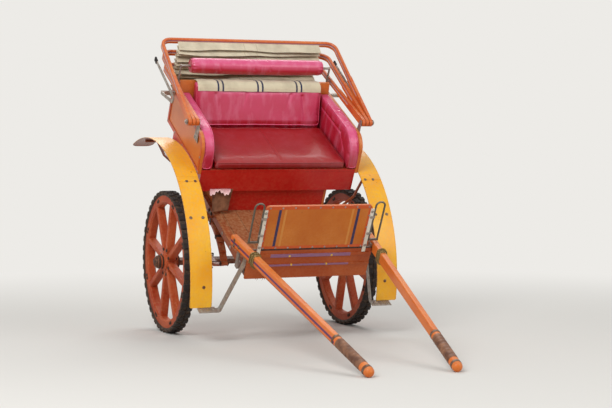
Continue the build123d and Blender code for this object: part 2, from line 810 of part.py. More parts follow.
handle_inner = post_y[1] + HANDLE_R
handle_outer = handle_inner + HANDLE_WIDE
handle_x = dash_front + POST_THICK / 2
handle_top = HANDLE_LOW + HANDLE_TALL
hairpin = forged_bar(
    [
        (handle_x, handle_inner, HANDLE_LOW),
        (handle_x, handle_inner, handle_top),
        (handle_x, handle_outer, handle_top),
        (handle_x, handle_outer, HANDLE_LOW),
    ],
    HANDLE_R, (HANDLE_WIDE - HANDLE_FLAT) / 2, HANDLE_SIDES,
)
foot_bar = board(
    handle_x - HANDLE_R, handle_x + HANDLE_R,
    handle_inner - HANDLE_R, handle_outer + HANDLE_R,
    HANDLE_LOW - HANDLE_R, HANDLE_LOW + HANDLE_R,
)
handle = cut(join(hairpin, foot_bar), pieces["dash_panel"], pieces["dash_post_left"])
keep_pair("grab_handle", handle)

step_top_y = shaft_inner_y(STEP_X + STEP_WIDE) - IRON_THICK / 2
step_top_z = SHAFT_Z + SHAFT_TALL / 2
with BuildPart() as step_iron:
    with BuildSketch(Plane(origin=(STEP_X, 0, 0), x_dir=(0, 1, 0), z_dir=(1, 0, 0))):
        with BuildLine():
            FilletPolyline(
                (step_top_y, step_top_z),
                (step_top_y, step_top_z - SHAFT_TALL - STEP_KNEE),
                (STEP_INNER, STEP_Z),
                (STEP_OUTER, STEP_Z),
                radius=STEP_BEND,
            )
        trace(line_width=IRON_THICK)
    extrude(amount=STEP_WIDE)
    add(fender_solid, mode=Mode.SUBTRACT)
    add(shaft.part, mode=Mode.SUBTRACT)
keep_pair("step_iron", step_iron.part)

keep("foot_flap", board(
    SEAT_FRONT, SEAT_FRONT + FLAP_THICK, -FLAP_OUTER, -FLAP_INNER,
    floor_z + FLAP_CLEAR, SEAT_LOW + BOARD,
))

# Parked: the whole gig but its wheels leans forward about the axle until the shaft tips touch down.
reach = math.hypot(TIP_X, TIP_Z - AXLE_Z)
park = math.degrees(math.atan2(TIP_Z - AXLE_Z, TIP_X) + math.asin((AXLE_Z - ROUND_R) / reach))
lean_down = Location((0, 0, AXLE_Z)) * Location((0, 0, 0), (0, park, 0)) * Location((0, 0, -AXLE_Z))
stored = {name: piece.moved(lean_down) for name, piece in pieces.items()}
stored.update(wheel_pieces)
boxes = [piece.bounding_box() for piece in stored.values()]
middle_x = (min(box.min.X for box in boxes) + max(box.max.X for box in boxes)) / 2
centred = Location((-middle_x, 0, 0))

for name, piece in stored.items():
    placed = piece.moved(centred)
    placed.label = name
    export_step(placed, "parts/" + name + ".step")

round_middle = shaft_from + shaft_dir * (shaft_length - ROUND_LENGTH / 2)
POINTS = {
    # name: (x, y, z) in the level carriage
    "axle": (0, 0, AXLE_Z),
    "hood pivot": (PIVOT_X, 0, pivot_z),
    "shaft round": tuple(round_middle),
}
print("park angle", round(park, 5), "middle x", round(middle_x, 4), "pieces", len(stored))
for name, point in POINTS.items():
    spot = (centred * lean_down * Location(point)).position
    print(name, [round(value / 1000, 6) for value in spot])
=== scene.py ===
"""Dress the parked two-wheeled gig: its paint, vinyl, rubber, irons, cloth and rope.

Lengths are in metres. The carriage is drawn level, with X forward, Y to its left and Z up, and the
wheels' bottoms at Z = 0 under the axle. Stance then leans and moves each piece to the parked frame.
"""

from __future__ import annotations

import json
import logging
import math
from dataclasses import dataclass, field
from enum import Enum
from typing import Callable, Iterable, Sequence

import bpy
from mathutils import Matrix, Vector

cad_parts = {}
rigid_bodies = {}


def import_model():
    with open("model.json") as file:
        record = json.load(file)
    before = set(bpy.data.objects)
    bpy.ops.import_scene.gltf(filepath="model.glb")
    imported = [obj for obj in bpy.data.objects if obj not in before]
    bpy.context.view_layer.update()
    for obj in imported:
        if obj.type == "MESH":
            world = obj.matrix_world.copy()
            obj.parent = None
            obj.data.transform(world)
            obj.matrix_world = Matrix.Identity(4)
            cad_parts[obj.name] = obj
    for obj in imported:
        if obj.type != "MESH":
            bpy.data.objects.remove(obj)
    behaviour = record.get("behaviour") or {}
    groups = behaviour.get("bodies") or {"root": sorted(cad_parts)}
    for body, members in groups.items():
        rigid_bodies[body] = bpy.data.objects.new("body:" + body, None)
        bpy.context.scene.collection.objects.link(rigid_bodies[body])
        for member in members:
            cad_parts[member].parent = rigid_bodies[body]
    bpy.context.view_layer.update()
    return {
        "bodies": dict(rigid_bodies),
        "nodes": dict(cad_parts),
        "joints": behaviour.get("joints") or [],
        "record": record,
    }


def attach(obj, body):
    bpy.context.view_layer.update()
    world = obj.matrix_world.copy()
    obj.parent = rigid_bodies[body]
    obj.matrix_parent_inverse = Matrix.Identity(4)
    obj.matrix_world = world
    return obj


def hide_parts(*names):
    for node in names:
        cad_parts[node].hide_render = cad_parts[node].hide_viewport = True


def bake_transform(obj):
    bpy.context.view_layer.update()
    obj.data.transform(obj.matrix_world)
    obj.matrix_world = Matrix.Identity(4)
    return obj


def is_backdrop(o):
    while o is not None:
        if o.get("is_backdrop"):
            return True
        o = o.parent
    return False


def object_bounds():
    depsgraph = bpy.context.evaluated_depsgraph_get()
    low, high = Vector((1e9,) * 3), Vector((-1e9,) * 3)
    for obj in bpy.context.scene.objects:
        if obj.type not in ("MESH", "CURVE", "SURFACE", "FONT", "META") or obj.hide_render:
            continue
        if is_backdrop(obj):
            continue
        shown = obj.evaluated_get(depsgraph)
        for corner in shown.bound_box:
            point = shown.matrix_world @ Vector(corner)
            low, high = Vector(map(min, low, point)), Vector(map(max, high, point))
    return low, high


LOG = logging.getLogger("gig")
MM = 0.001
# One wave of a Wave texture at scale 1, in millimetres.
WAVE_MM = 1000 * math.tau / 20

Item = bpy.types.Object
Socket = bpy.types.NodeSocket
Point = tuple[float, float, float]
Surface = Callable[[float, float], Point]
Spot = tuple[Vector, Vector]
# A sewn or worn hollow: the line that it follows, its width and its depth.
Crease = tuple[Point, Point, float, float]

# Driving sizes of the level carriage, as the frame has them.
AXLE_Z = 0.5
HALF_TRACK = 0.681
TREAD_R = 0.489
RIM_R = 0.470
RIM_HALF = 0.032
HUB_NECK_R = 0.045
HUB_OUTER = 0.087
SPOKES = 8
SPOKE_PHASE = math.radians(27)
LUGS = 44
SPRING_Y = 0.410
SPRING_HALF_WIDE = 0.025
SPRING_HALF_LONG = 0.350
SPRING_SAG = 0.125
SPRING_Z = 0.698
SILL_OUTER = 0.435
DASH_FRONT = 0.803
DASH_SPLIT = 1.090
DASH_TOP = 1.420
DASH_HALF = 0.376
SEAT_FRONT = 0.050
SEAT_HALF = 0.575
SEAT_LOW = 1.100
SEAT_DECK = 1.268
SIDE_REAR = -0.730
SIDE_LOW = 1.236
SIDE_TOP = 1.510
SIDE_OUTER = 0.599
SIDE_RIM = 0.026
BACK_TOP = 1.596
BACK_FOOT = -0.576
BACK_LEAN = 0.076
BOLSTER_X = -0.700
BOLSTER_Z = 1.694
BOLSTER_R = 0.058
BOLSTER_HALF = 0.506
PIVOT_X = -0.080
PIVOT_Z = 1.572
BOW_TURN = math.radians(14)
BOW_TURNS = (BOW_TURN, BOW_TURN / 2, 0.0)
CLOTH_HALF = 0.548
CLOTH_HANG = math.radians(17)
FENDER_INNER = 0.604
FENDER_WIDE = 0.154
FENDER_TOP = Vector((-0.150, 0.0, 1.262))
FENDER_FRONT_R = 0.929
FENDER_REAR_R = 1.110
FENDER_FRONT_SWEEP = math.radians(73)
FENDER_REAR_SWEEP = math.radians(47.5)
SHAFT_FROM = Vector((0.620, 0.486, 1.062))
SHAFT_TO = Vector((2.420, 0.283, 1.286))
SHAFT_WIDE = 0.044
SHAFT_TALL = 0.075
SHAFT_ROUND_R = 0.032
LASHING_FROM = 0.290
LASHING_LONG = 0.074


class Side(Enum):
    """The two sides of the carriage, as the sign of Y."""

    LEFT = 1
    RIGHT = -1

    @property
    def word(self) -> str:
        """The side's name as the frame's nodes end."""
        return self.name.lower()


@dataclass(frozen=True)
class Stance:
    """How the level carriage is leaned about its axle and moved to stand on its shafts."""

    axle_x: float
    lean: float

    @classmethod
    def read(cls, joints: Sequence[dict]) -> "Stance":
        """Work out the lean from where the hood's pivot lies from the axle.

        Args:
            joints: The frame's joints.

        Returns:
            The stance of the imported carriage.
        """
        places = {joint["name"]: Vector(joint["pos_m"]) for joint in joints}
        axle = places["wheel_left_spin"]
        pivot = places["hood_fold"] - axle
        level = math.atan2(PIVOT_Z - AXLE_Z, PIVOT_X)
        return cls(axle.x, level - math.atan2(pivot.z, pivot.x))

    @property
    def matrix(self) -> Matrix:
        """From the level carriage to the parked frame."""
        axle = Matrix.Translation((self.axle_x, 0, AXLE_Z))
        return axle @ Matrix.Rotation(self.lean, 4, "Y") @ Matrix.Translation((0, 0, -AXLE_Z))

    @property
    def wheel_matrix(self) -> Matrix:
        """Wheels move with the axle but don't lean."""
        return Matrix.Translation((self.axle_x, 0, 0))

    def parked(self, point: Sequence[float]) -> Vector:
        """A level point in the parked frame."""
        return self.matrix @ Vector(point)


class Bench:
    """The modelling operators, in the order of work by hand."""

    @staticmethod
    def clear() -> None:
        """Go to object mode with nothing selected."""
        if bpy.context.object and bpy.context.object.mode != "OBJECT":
            bpy.ops.object.mode_set(mode="OBJECT")
        bpy.ops.object.select_all(action="DESELECT")

    @staticmethod
    def add(name: str, data: bpy.types.ID) -> Item:
        """A new object of the scene from its data.

        Args:
            name: Its name.
            data: Its mesh, curve, lamp or camera.

        Returns:
            The object.
        """
        item = bpy.data.objects.new(name, data)
        bpy.context.scene.collection.objects.link(item)
        return item

    @classmethod
    def pick(cls, *objects: Item) -> None:
        """Select these objects alone; the first is active.

        Args:
            objects: The objects.
        """
        cls.clear()
        for item in objects:
            item.select_set(True)
        bpy.context.view_layer.objects.active = objects[0]

    @classmethod
    def apply_place(cls, item: Item) -> Item:
        """Put an object's place, turn and size into its mesh.

        Args:
            item: The object.

        Returns:
            The same object.
        """
        cls.pick(item)
        bpy.ops.object.transform_apply(location=True, rotation=True, scale=True)
        return item

    @classmethod
    def block(cls, low: Sequence[float], high: Sequence[float]) -> Item:
        """A cube primitive sized and placed between two corners.

        Args:
            low: Its lowest corner.
            high: Its highest corner.

        Returns:
            The block.
        """
        cls.clear()
        middle = [(a + b) / 2 for a, b in zip(low, high)]
        size = [b - a for a, b in zip(low, high)]
        bpy.ops.mesh.primitive_cube_add(size=1, location=middle, scale=size)
        return cls.apply_place(bpy.context.object)

    @classmethod
    def drum(
        cls, start: Vector, end: Vector, radius: float, sides: int = 20, top: float | None = None
    ) -> Item:
        """A cone or cylinder primitive between the middles of its two ends.

        Args:
            start: The middle of one end.
            end: The middle of the other end.
            radius: The radius at the start.
            sides: How many faces go round.
            top: The radius at the end, where it differs.

        Returns:
            The drum.
        """
        cls.clear()
        along = end - start
        bpy.ops.mesh.primitive_cone_add(
            vertices=sides, radius1=radius, radius2=radius if top is None else top, depth=along.length,
            location=(start + end) / 2, rotation=along.to_track_quat("Z", "Y").to_euler(),
        )
        return cls.apply_place(bpy.context.object)

    @classmethod
    def modify(cls, item: Item, kind: str, **settings: object) -> Item:
        """Add a modifier, set it and apply it.

        Args:
            item: The object.
            kind: The modifier's type.
            settings: Its settings.

        Returns:
            The same object.
        """
        cls.pick(item)
        modifier = item.modifiers.new(kind.title(), kind)
        for key, value in settings.items():
            setattr(modifier, key, value)
        bpy.ops.object.modifier_apply(modifier=modifier.name)
        return item

    @classmethod
    def round_edges(cls, item: Item, width: float, segments: int = 2) -> Item:
        """Bevel the sharp edges."""
        return cls.modify(item, "BEVEL", width=width, segments=segments, limit_method="ANGLE")

    @classmethod
    def turn(
        cls, profile: Sequence[tuple[float, float]], centre: Vector, axis: Vector, steps: int = 64
    ) -> Item:
        """Spin a profile of (radius, distance along the axis) into a closed shape.

        Args:
            profile: The outline, from one end of the axis to the other or back to its start.
            centre: The point that the distances are measured from.
            axis: The direction that it turns about.
            steps: How many faces go round.

        Returns:
            The turned object.
        """
        cls.clear()
        across = axis.orthogonal().normalized()
        mesh = bpy.data.meshes.new("turned")
        points = [centre + across * radius + axis * along for radius, along in profile]
        links = [(index, index + 1) for index in range(len(points) - 1)]
        mesh.from_pydata(points, links, [])
        item = cls.add("turned", mesh)
        cls.pick(item)
        bpy.ops.object.mode_set(mode="EDIT")
        bpy.ops.mesh.select_all(action="SELECT")
        bpy.ops.mesh.spin(steps=steps, angle=math.tau, center=centre, axis=axis)
        bpy.ops.mesh.select_all(action="SELECT")
        bpy.ops.mesh.remove_doubles(threshold=1e-5)
        bpy.ops.mesh.normals_make_consistent(inside=False)
        cls.clear()
        return item

    @classmethod
    def wire(
        cls, points: Sequence[Sequence[float]], radius: float, closed: bool = False, sides: int = 3,
        smooth: bool = True,
    ) -> Item:
        """A round bar or cord along points, converted to a mesh.

        Args:
            points: The path.
            radius: Half the thickness.
            closed: Whether the path returns to its start.
            sides: The bevel's resolution.
            smooth: A curve through the points' hull, or straight runs.

        Returns:
            The bar as a mesh.
        """
        curve = bpy.data.curves.new("wire", "CURVE")
        curve.dimensions = "3D"
        curve.bevel_depth = radius
        curve.bevel_resolution = sides
        curve.use_fill_caps = True
        curve.resolution_u = 5
        line = curve.splines.new("NURBS" if smooth else "POLY")
        line.points.add(len(points) - 1)
        for spot, point in zip(line.points, points):
            spot.co = (*point, 1)
        line.use_cyclic_u = closed
        if smooth:
            line.order_u = 3
            line.use_endpoint_u = not closed
        item = cls.add("wire", curve)
        cls.pick(item)
        bpy.ops.object.convert(target="MESH")
        return bpy.context.object

    @classmethod
    def merge(cls, items: Iterable[Item]) -> Item:
        """Join objects into the first.

        Args:
            items: The objects.

        Returns:
            The first, with the others in it.
        """
        found = list(items)
        cls.pick(*found)
        if len(found) > 1:
            bpy.ops.object.join()
        return bpy.context.object

    @classmethod
    def repeat(cls, master: Item, places: Iterable[Matrix]) -> list[Item]:
        """Copies of a master at each place, each with its own mesh; the master goes.

        Args:
            master: What is copied.
            places: Where each copy goes.

        Returns:
            The copies.
        """
        copies = []
        for place in places:
            copy = master.copy()
            copy.data = master.data.copy()
            copy.data.transform(place)
            bpy.context.scene.collection.objects.link(copy)
            copies.append(copy)
        bpy.data.objects.remove(master)
        return copies

    @classmethod
    def select_faces(cls, item: Item, test: Callable[[Vector], bool]) -> None:
        """Go to edit mode with only the faces whose normal passes the test.

        Args:
            item: The object.
            test: Says of a face's normal whether it is picked.
        """
        cls.pick(item)
        bpy.ops.object.mode_set(mode="EDIT")
        bpy.ops.mesh.select_mode(type="FACE")
        bpy.ops.mesh.select_all(action="DESELECT")
        bpy.ops.object.mode_set(mode="OBJECT")
        for face in item.data.polygons:
            face.select = test(face.normal)
        bpy.ops.object.mode_set(mode="EDIT")

    @classmethod
    def grid(cls, columns: int, rows: int, place: Surface) -> Item:
        """A grid primitive whose points go where place(u, v) says, with u and v from 0 to 1.

        Args:
            columns: How many faces lie across.
            rows: How many lie along.
            place: Where u and v go.

        Returns:
            The grid.
        """
        cls.clear()
        bpy.ops.mesh.primitive_grid_add(x_subdivisions=columns, y_subdivisions=rows, size=1)
        item = bpy.context.object
        for vertex in item.data.vertices:
            vertex.co = Vector(place(vertex.co.x + 0.5, vertex.co.y + 0.5))
        return item


def facing(at: Vector, normal: Vector) -> Matrix:
    """The place of a small fitting that stands on a surface, its own Z along the normal."""
    return Matrix.Translation(at) @ normal.to_track_quat("Z", "Y").to_matrix().to_4x4()


def bolt_head(across: float, tall: float, domed: bool = False) -> Item:
    """A bolt head on its washer, standing on Z = 0; domed for a coach bolt.

    Args:
        across: The head's width.
        tall: Its height.
        domed: A round head in place of a hexagon.

    Returns:
        The head with its washer.
    """
    washer = Bench.drum(Vector((0, 0, -MM)), Vector((0, 0, 2 * MM)), across * 0.85)
    sides = 20 if domed else 6
    head = Bench.drum(Vector((0, 0, MM)), Vector((0, 0, tall)), across * 0.55, sides, across * 0.46)
    Bench.round_edges(head, tall * 0.25, 3 if domed else 2)
    Bench.round_edges(washer, 0.7 * MM, 1)
    return Bench.merge([washer, head])


def bolts(spots: Iterable[Spot], across: float, tall: float, domed: bool = False) -> Item:
    """Bolt heads at (point, normal) spots, joined."""
    return Bench.merge(Bench.repeat(bolt_head(across, tall, domed), [facing(*spot) for spot in spots]))


def mirrored(item: Item, side: Side) -> Item:
    """Turn a left piece into the right one where the side is right.

    Args:
        item: The object.
        side: The side that it is for.

    Returns:
        The same object.
    """
    if side is Side.RIGHT:
        item.data.transform(Matrix.Scale(-1, 4, (0, 1, 0)))
        item.data.flip_normals()
    return item


# Finishes


def linear(code: str) -> tuple[float, float, float, float]:
    """An sRGB hex colour as linear red, green, blue and alpha.

    Args:
        code: The colour as # and six digits.

    Returns:
        The four values.
    """
    values = [int(code[index : index + 2], 16) / 255 for index in (1, 3, 5)]
    made = [v / 12.92 if v <= 0.04045 else ((v + 0.055) / 1.055) ** 2.4 for v in values]
    return (*made, 1.0)


# A Mix node for colours has its inputs at 0, 6 and 7, and its output at 2.
RGBA = {"out": 2, "data_type": "RGBA"}


@dataclass
class Shader:
    """A node tree in work, the point that its patterns read, and how far the surface faces up."""

    tree: bpy.types.NodeTree
    at: Socket | None = None
    up: Socket | None = None

    @classmethod
    def begin(cls, owner: bpy.types.Material | bpy.types.World) -> Shader:
        """Empty the node tree of a material or of the world.

        Args:
            owner: The material or the world.

        Returns:
            The shader to work on.
        """
        owner.use_nodes = True
        owner.node_tree.nodes.clear()
        return cls(owner.node_tree)

    def node(
        self, kind: str, links: dict | Sequence = (), out: int | str = 0, **settings: object
    ) -> Socket | None:
        """Add a node.

        Args:
            kind: Its type without the prefix.
            links: Values, hex colours or sockets, in the inputs' order or by name or number.
            out: The name or number of the output that is wanted.
            settings: Its own settings.

        Returns:
            That output's socket, or None for a node that has none.
        """
        made = self.tree.nodes.new("ShaderNode" + kind)
        for key, value in settings.items():
            setattr(made, key, value)
        for key, value in links.items() if isinstance(links, dict) else enumerate(links):
            if isinstance(value, Socket):
                self.tree.links.new(value, made.inputs[key])
            else:
                made.inputs[key].default_value = linear(value) if isinstance(value, str) else value
        return made.outputs[out] if made.outputs else None

    def cloud(
        self, size: float, low: float, high: float, stretch: Sequence[float] = (1, 1, 1), detail: float = 4
    ) -> Socket:
        """A noise of a real size, from 0 to 1.

        Args:
            size: How wide its blotches are, in millimetres.
            low: The noise that gives 0.
            high: The noise that gives 1.
            stretch: How much finer it is along each axis.
            detail: How ragged it is.

        Returns:
            The noise's socket.
        """
        scale = [v / (size / 1000) for v in stretch]
        spread = self.node("Mapping", {"Vector": self.at, "Scale": scale})
        noise = self.node("TexNoise", {"Vector": spread, "Scale": 1.0, "Detail": detail})
        return self.node("MapRange", {"Value": noise, "From Min": low, "From Max": high})


class Ground(Enum):
    """Which frame a finish's pattern lies in."""

    CARRIAGE = "carriage"
    WHEEL = "wheel"


@dataclass(frozen=True)
class Band:
    """The space between two parallel planes of the level carriage, the right side mirrored."""

    normal: Point
    low: float
    high: float


@dataclass(frozen=True)
class Stripe:
    """A painted line or field: where all its bands meet."""

    colour: str
    bands: tuple[Band, ...]


@dataclass(frozen=True)
class Finish:
    """What every finish shares: its name and the frame that its pattern lies in."""

    name: str
    ground: Ground = field(default=Ground.CARRIAGE, kw_only=True)

    def dress(self, stance: Stance) -> bpy.types.Material:
        """Make the material, once.

        Args:
            stance: How the carriage stands.

        Returns:
            The material.
        """
        found = bpy.data.materials.get(self.name)
        if found:
            return found
        material = bpy.data.materials.new(self.name)
        on = Shader.begin(material)
        lean = stance.lean if self.ground is Ground.CARRIAGE else 0.0
        turned = Matrix.Rotation(-lean, 4, "Y") @ Vector((stance.axle_x, 0, AXLE_Z))
        here = on.node("TexCoord", out="Object")
        on.at = on.node("Mapping", {
            "Vector": here, "Rotation": (0, -lean, 0), "Location": Vector((0, 0, AXLE_Z)) - turned,
        })
        level = on.node("Mapping", {
            "Vector": here.node.outputs["Normal"], "Rotation": (0, -lean, 0),
        }, vector_type="VECTOR")
        on.up = on.node("SeparateXYZ", {"Vector": level}, "Z")
        on.node("OutputMaterial", {"Surface": self.build(on)})
        return material

    def build(self, on: Shader) -> Socket:
        """Make the shader and return its socket."""
        raise NotImplementedError


@dataclass(frozen=True)
class OilPaint(Finish):
    """Brushed oil enamel on wood or sheet: a soft gloss that the sun fades, with chips and dust."""

    coat: str
    faded: str
    under: str
    dust: str = "#C9A77A"
    grain: Point = (0.12, 1, 1)
    roughness: float = 0.42
    gloss: float = 0.10
    specular: float = 0.30
    chips: float = 0.5
    dusty: float = 0.35
    dust_low: float = 0.3
    dust_high: float = 1.3
    worn_edge: float = 0.006
    stray: float = 0.0012
    soft_edge: float = 0.0006
    stripes: tuple[Stripe, ...] = ()

    def build(self, on: Shader) -> Socket:
        """Layer the coat, its stripes, the wear at edges and the dust.

        Args:
            on: The shader.

        Returns:
            Its socket.
        """
        # Sun fades it in patches a hand wide, along brush strokes 12 mm across.
        fade = on.cloud(220, 0.35, 0.72)
        strokes = on.cloud(12, 0.3, 0.7, self.grain, 2)
        streaks = on.node("MapRange", {"Value": strokes, "To Min": 0.55, "To Max": 1.0})
        streaky = on.node("Math", (fade, streaks), operation="MULTIPLY")
        colour = on.node("Mix", {0: streaky, 6: self.coat, 7: self.faded}, **RGBA)
        colour = self.paint_over(on, colour)
        chips = self.chipped(on)
        colour = on.node("Mix", {0: chips, 6: colour, 7: self.under}, **RGBA)
        # Dust lies on what faces up, and more of it low down near the wheels.
        lying = on.node("MapRange", {"Value": on.up, "From Min": 0.1, "From Max": 1.0})
        specks = on.cloud(20, 0.38, 0.75, detail=8)
        height = on.node("SeparateXYZ", {"Vector": on.at}, "Z")
        near = on.node("MapRange", {
            "Value": height, "From Min": self.dust_high, "From Max": self.dust_low, "To Min": 0.12,
            "To Max": 0.6,
        })
        settled = on.node("Math", (lying, near), operation="MAXIMUM")
        dust = on.node("Math", (settled, specks), operation="MULTIPLY")
        dust = on.node("Math", (dust, self.dusty), operation="MULTIPLY")
        colour = on.node("Mix", {0: dust, 6: colour, 7: self.dust}, **RGBA)
        rough = on.node("MapRange", {"Value": dust, "To Min": self.roughness, "To Max": 0.85})
        ridges = on.node("Math", (strokes, 0.4), operation="MULTIPLY")
        relief = on.node("Math", (ridges, chips), operation="SUBTRACT")
        bump = on.node("Bump", {"Height": relief, "Strength": 0.25, "Distance": 0.0008})
        return on.node("BsdfPrincipled", {
            "Base Color": colour, "Roughness": rough, "Normal": bump,
            "Specular IOR Level": self.specular, "Coat Weight": self.gloss, "Coat Roughness": 0.22,
        })

    def chipped(self, on: Shader) -> Socket:
        """Where the coat is gone: along edges, and in a few spots.

        Args:
            on: The shader.

        Returns:
            How bare it is.
        """
        soft = on.node("Bevel", {"Radius": self.worn_edge}, samples=4)
        hard = on.node("NewGeometry", out="Normal")
        even = on.node("VectorMath", (soft, hard), "Value", operation="DOT_PRODUCT")
        edge = on.node("MapRange", {"Value": even, "From Min": 0.985, "From Max": 0.88})
        ragged = on.cloud(16, 0.42, 0.56, detail=6)
        spots = on.cloud(35, 0.70, 0.73, detail=8)
        worn = on.node("Math", (edge, ragged), operation="MULTIPLY")
        worn = on.node("Math", (worn, spots), operation="MAXIMUM")
        return on.node("Math", (worn, self.chips), operation="MULTIPLY")

    def paint_over(self, on: Shader, colour: Socket) -> Socket:
        """Lay each stripe over the coat, its edge as uneven as a hand-painted line.

        Args:
            on: The shader.
            colour: The colour so far.

        Returns:
            The striped colour.
        """
        if not self.stripes:
            return colour
        parts = on.node("SeparateXYZ", {"Vector": on.at}).node.outputs
        side = on.node("Math", (parts["Y"],), operation="ABSOLUTE")
        folded = on.node("CombineXYZ", {"X": parts["X"], "Y": side, "Z": parts["Z"]})
        wobble = on.cloud(50, 0.0, 1.0)
        for stripe in self.stripes:
            mask: Socket | float = 1.0
            for band in stripe.bands:
                along = on.node("VectorMath", (folded, band.normal), "Value", operation="DOT_PRODUCT")
                off = on.node("Math", (along, (band.low + band.high) / 2), operation="SUBTRACT")
                far = on.node("Math", (off,), operation="ABSOLUTE")
                uneven = on.node("Math", (wobble, self.stray, far), operation="MULTIPLY_ADD")
                half = (band.high - band.low + self.stray) / 2
                inside = on.node("MapRange", {
                    "Value": uneven, "From Min": half + self.soft_edge, "From Max": half - self.soft_edge,
                })
                mask = on.node("Math", (mask, inside), operation="MULTIPLY")
            colour = on.node("Mix", {0: mask, 6: colour, 7: stripe.colour}, **RGBA)
        return colour


@dataclass(frozen=True)
class FenderEnamel(OilPaint):
    """The fender's enamel on its outer face; its hollow side and its stays get painted shade, a dark brown.
    """

    # Painted shade: the dark brown of the fender's shaded underside.
    inside: str = "#8A3C18"
    skin: float = 0.0012

    def paint_over(self, on: Shader, colour: Socket) -> Socket:
        """Lay painted shade, a dark brown, on all that is nearer to the arc's centre than the outer face.

        Args:
            on: The shader.
            colour: The colour so far.

        Returns:
            The colour with its painted shade.
        """
        along = on.node("SeparateXYZ", {"Vector": on.at}, "X")
        ahead = on.node("Math", (along, FENDER_TOP.x), operation="GREATER_THAN")
        deep = []
        for radius in (FENDER_REAR_R, FENDER_FRONT_R):
            centre = Vector((FENDER_TOP.x, 0, FENDER_TOP.z - radius))
            away = on.node("VectorMath", (on.at, centre), operation="SUBTRACT")
            flat = on.node("VectorMath", (away, (1, 0, 1)), operation="MULTIPLY")
            reach = on.node("VectorMath", (flat,), "Value", operation="LENGTH")
            deep.append(on.node("Math", (reach, radius - self.skin), operation="LESS_THAN"))
        below = on.node("Mix", {0: ahead, 2: deep[0], 3: deep[1]})
        return on.node("Mix", {0: below, 6: colour, 7: self.inside}, **RGBA)


@dataclass(frozen=True)
class LeatherCloth(Finish):
    """PVC leathercloth: a pressed grain and a wet-looking sheen; faces turned up go pink by sun bleaching and
    painted light, faces turned down keep a crimson painted shade.
    """

    coat: str
    faded: str
    scuff: str = "#E9A2BE"
    bleach_from: float = -0.2
    bleach_to: float = 0.9
    scuffed: float = 0.35
    roughness: float = 0.30
    cell: float = 2.381

    def build(self, on: Shader) -> Socket:
        """Lighten what faces the sky, by sun bleaching and painted light, and press the grain in.

        Args:
            on: The shader.

        Returns:
            Its socket.
        """
        # Painted light and shade together with real sun fading: pink where it faces up, crimson where it
        # faces down.
        light_and_bleach = {"Value": on.up, "From Min": self.bleach_from, "From Max": self.bleach_to}
        sun = on.node("MapRange", light_and_bleach)
        blotch = on.cloud(150, 0.25, 0.8, (1, 0.5, 1), 5)
        patchy = on.node("Math", (blotch, 0.5), operation="MULTIPLY")
        share = on.node("Math", (patchy, sun, -0.12), operation="MULTIPLY_ADD")
        share = on.node("Math", (sun, share), operation="ADD", use_clamp=True)
        colour = on.node("Mix", {0: share, 6: self.coat, 7: self.faded}, **RGBA)
        scuffs = on.cloud(50, 0.48, 0.85, (1, 1, 0.2), 8)
        scuffs = on.node("Math", (scuffs, self.scuffed), operation="MULTIPLY")
        colour = on.node("Mix", {0: scuffs, 6: colour, 7: self.scuff}, **RGBA)
        # The real grain is about 1 mm across; its cells are drawn 2.4 mm wide so that they show.
        press_in = {"Vector": on.at, "Scale": 1000 / self.cell}
        grain = on.node("TexVoronoi", press_in, "Distance", feature="SMOOTH_F1")
        creases = on.cloud(50, 0.3, 0.7, (1, 1, 0.35), 5)
        relief = on.node("Math", (creases, 5.0, grain), operation="MULTIPLY_ADD")
        bump = on.node("Bump", {"Height": relief, "Strength": 0.4, "Distance": 0.0008})
        rough = on.node("MapRange", {
            "Value": blotch, "To Min": self.roughness, "To Max": self.roughness + 0.2,
        })
        return on.node("BsdfPrincipled", {
            "Base Color": colour, "Roughness": rough, "Normal": bump, "Coat Weight": 0.35,
            "Coat Roughness": 0.18,
        })


@dataclass(frozen=True)
class Rubber(Finish):
    """Vulcanised tyre rubber: near black and dull, with dust caught beside the lugs."""

    coat: str = "#2C2523"
    dust: str = "#7A6048"
    rubbed_r: float = 0.4985
    packed_r: float = 0.491
    dusty: float = 0.42

    def build(self, on: Shader) -> Socket:
        """Lay dust in the tread and on the wall, where running doesn't rub it off.

        Args:
            on: The shader.

        Returns:
            Its socket.
        """
        parts = on.node("SeparateXYZ", {"Vector": on.at}).node.outputs
        high = on.node("Math", (parts["Z"], -AXLE_Z), operation="ADD")
        flat = on.node("CombineXYZ", {"X": parts["X"], "Z": high})
        radius = on.node("VectorMath", (flat,), "Value", operation="LENGTH")
        tread = {"Value": radius, "From Min": self.rubbed_r, "From Max": self.packed_r}
        deep = on.node("MapRange", tread)
        specks = on.cloud(18, 0.35, 0.7, detail=8)
        share = on.node("Math", (deep, specks), operation="MULTIPLY")
        share = on.node("Math", (share, self.dusty), operation="MULTIPLY")
        colour = on.node("Mix", {0: share, 6: self.coat, 7: self.dust}, **RGBA)
        bump = on.node("Bump", {"Height": specks, "Strength": 0.4, "Distance": 0.0012})
        return on.node("BsdfPrincipled", {
            "Base Color": colour, "Roughness": 0.78, "Normal": bump, "Specular IOR Level": 0.35,
        })


@dataclass(frozen=True)
class Iron(Finish):
    """Forged iron or drawn steel: a metal sheen broken by rust and hand wear."""

    coat: str
    rust: str
    rusty: float
    roughness: float

    def build(self, on: Shader) -> Socket:
        """Let rust blooms, 30 mm across, take the metal's shine.

        Args:
            on: The shader.

        Returns:
            Its socket.
        """
        bloom = on.cloud(30, 0.42, 0.6, detail=8)
        bloom = on.node("Math", (bloom, self.rusty), operation="MULTIPLY")
        colour = on.node("Mix", {0: bloom, 6: self.coat, 7: self.rust}, **RGBA)
        metal = on.node("MapRange", {"Value": bloom, "To Min": 0.9, "To Max": 0.1})
        rough = on.node("MapRange", {"Value": bloom, "To Min": self.roughness, "To Max": 0.9})
        bump = on.node("Bump", {"Height": bloom, "Strength": 0.3, "Distance": 0.0005})
        return on.node("BsdfPrincipled", {
            "Base Color": colour, "Metallic": metal, "Roughness": rough, "Normal": bump,
        })


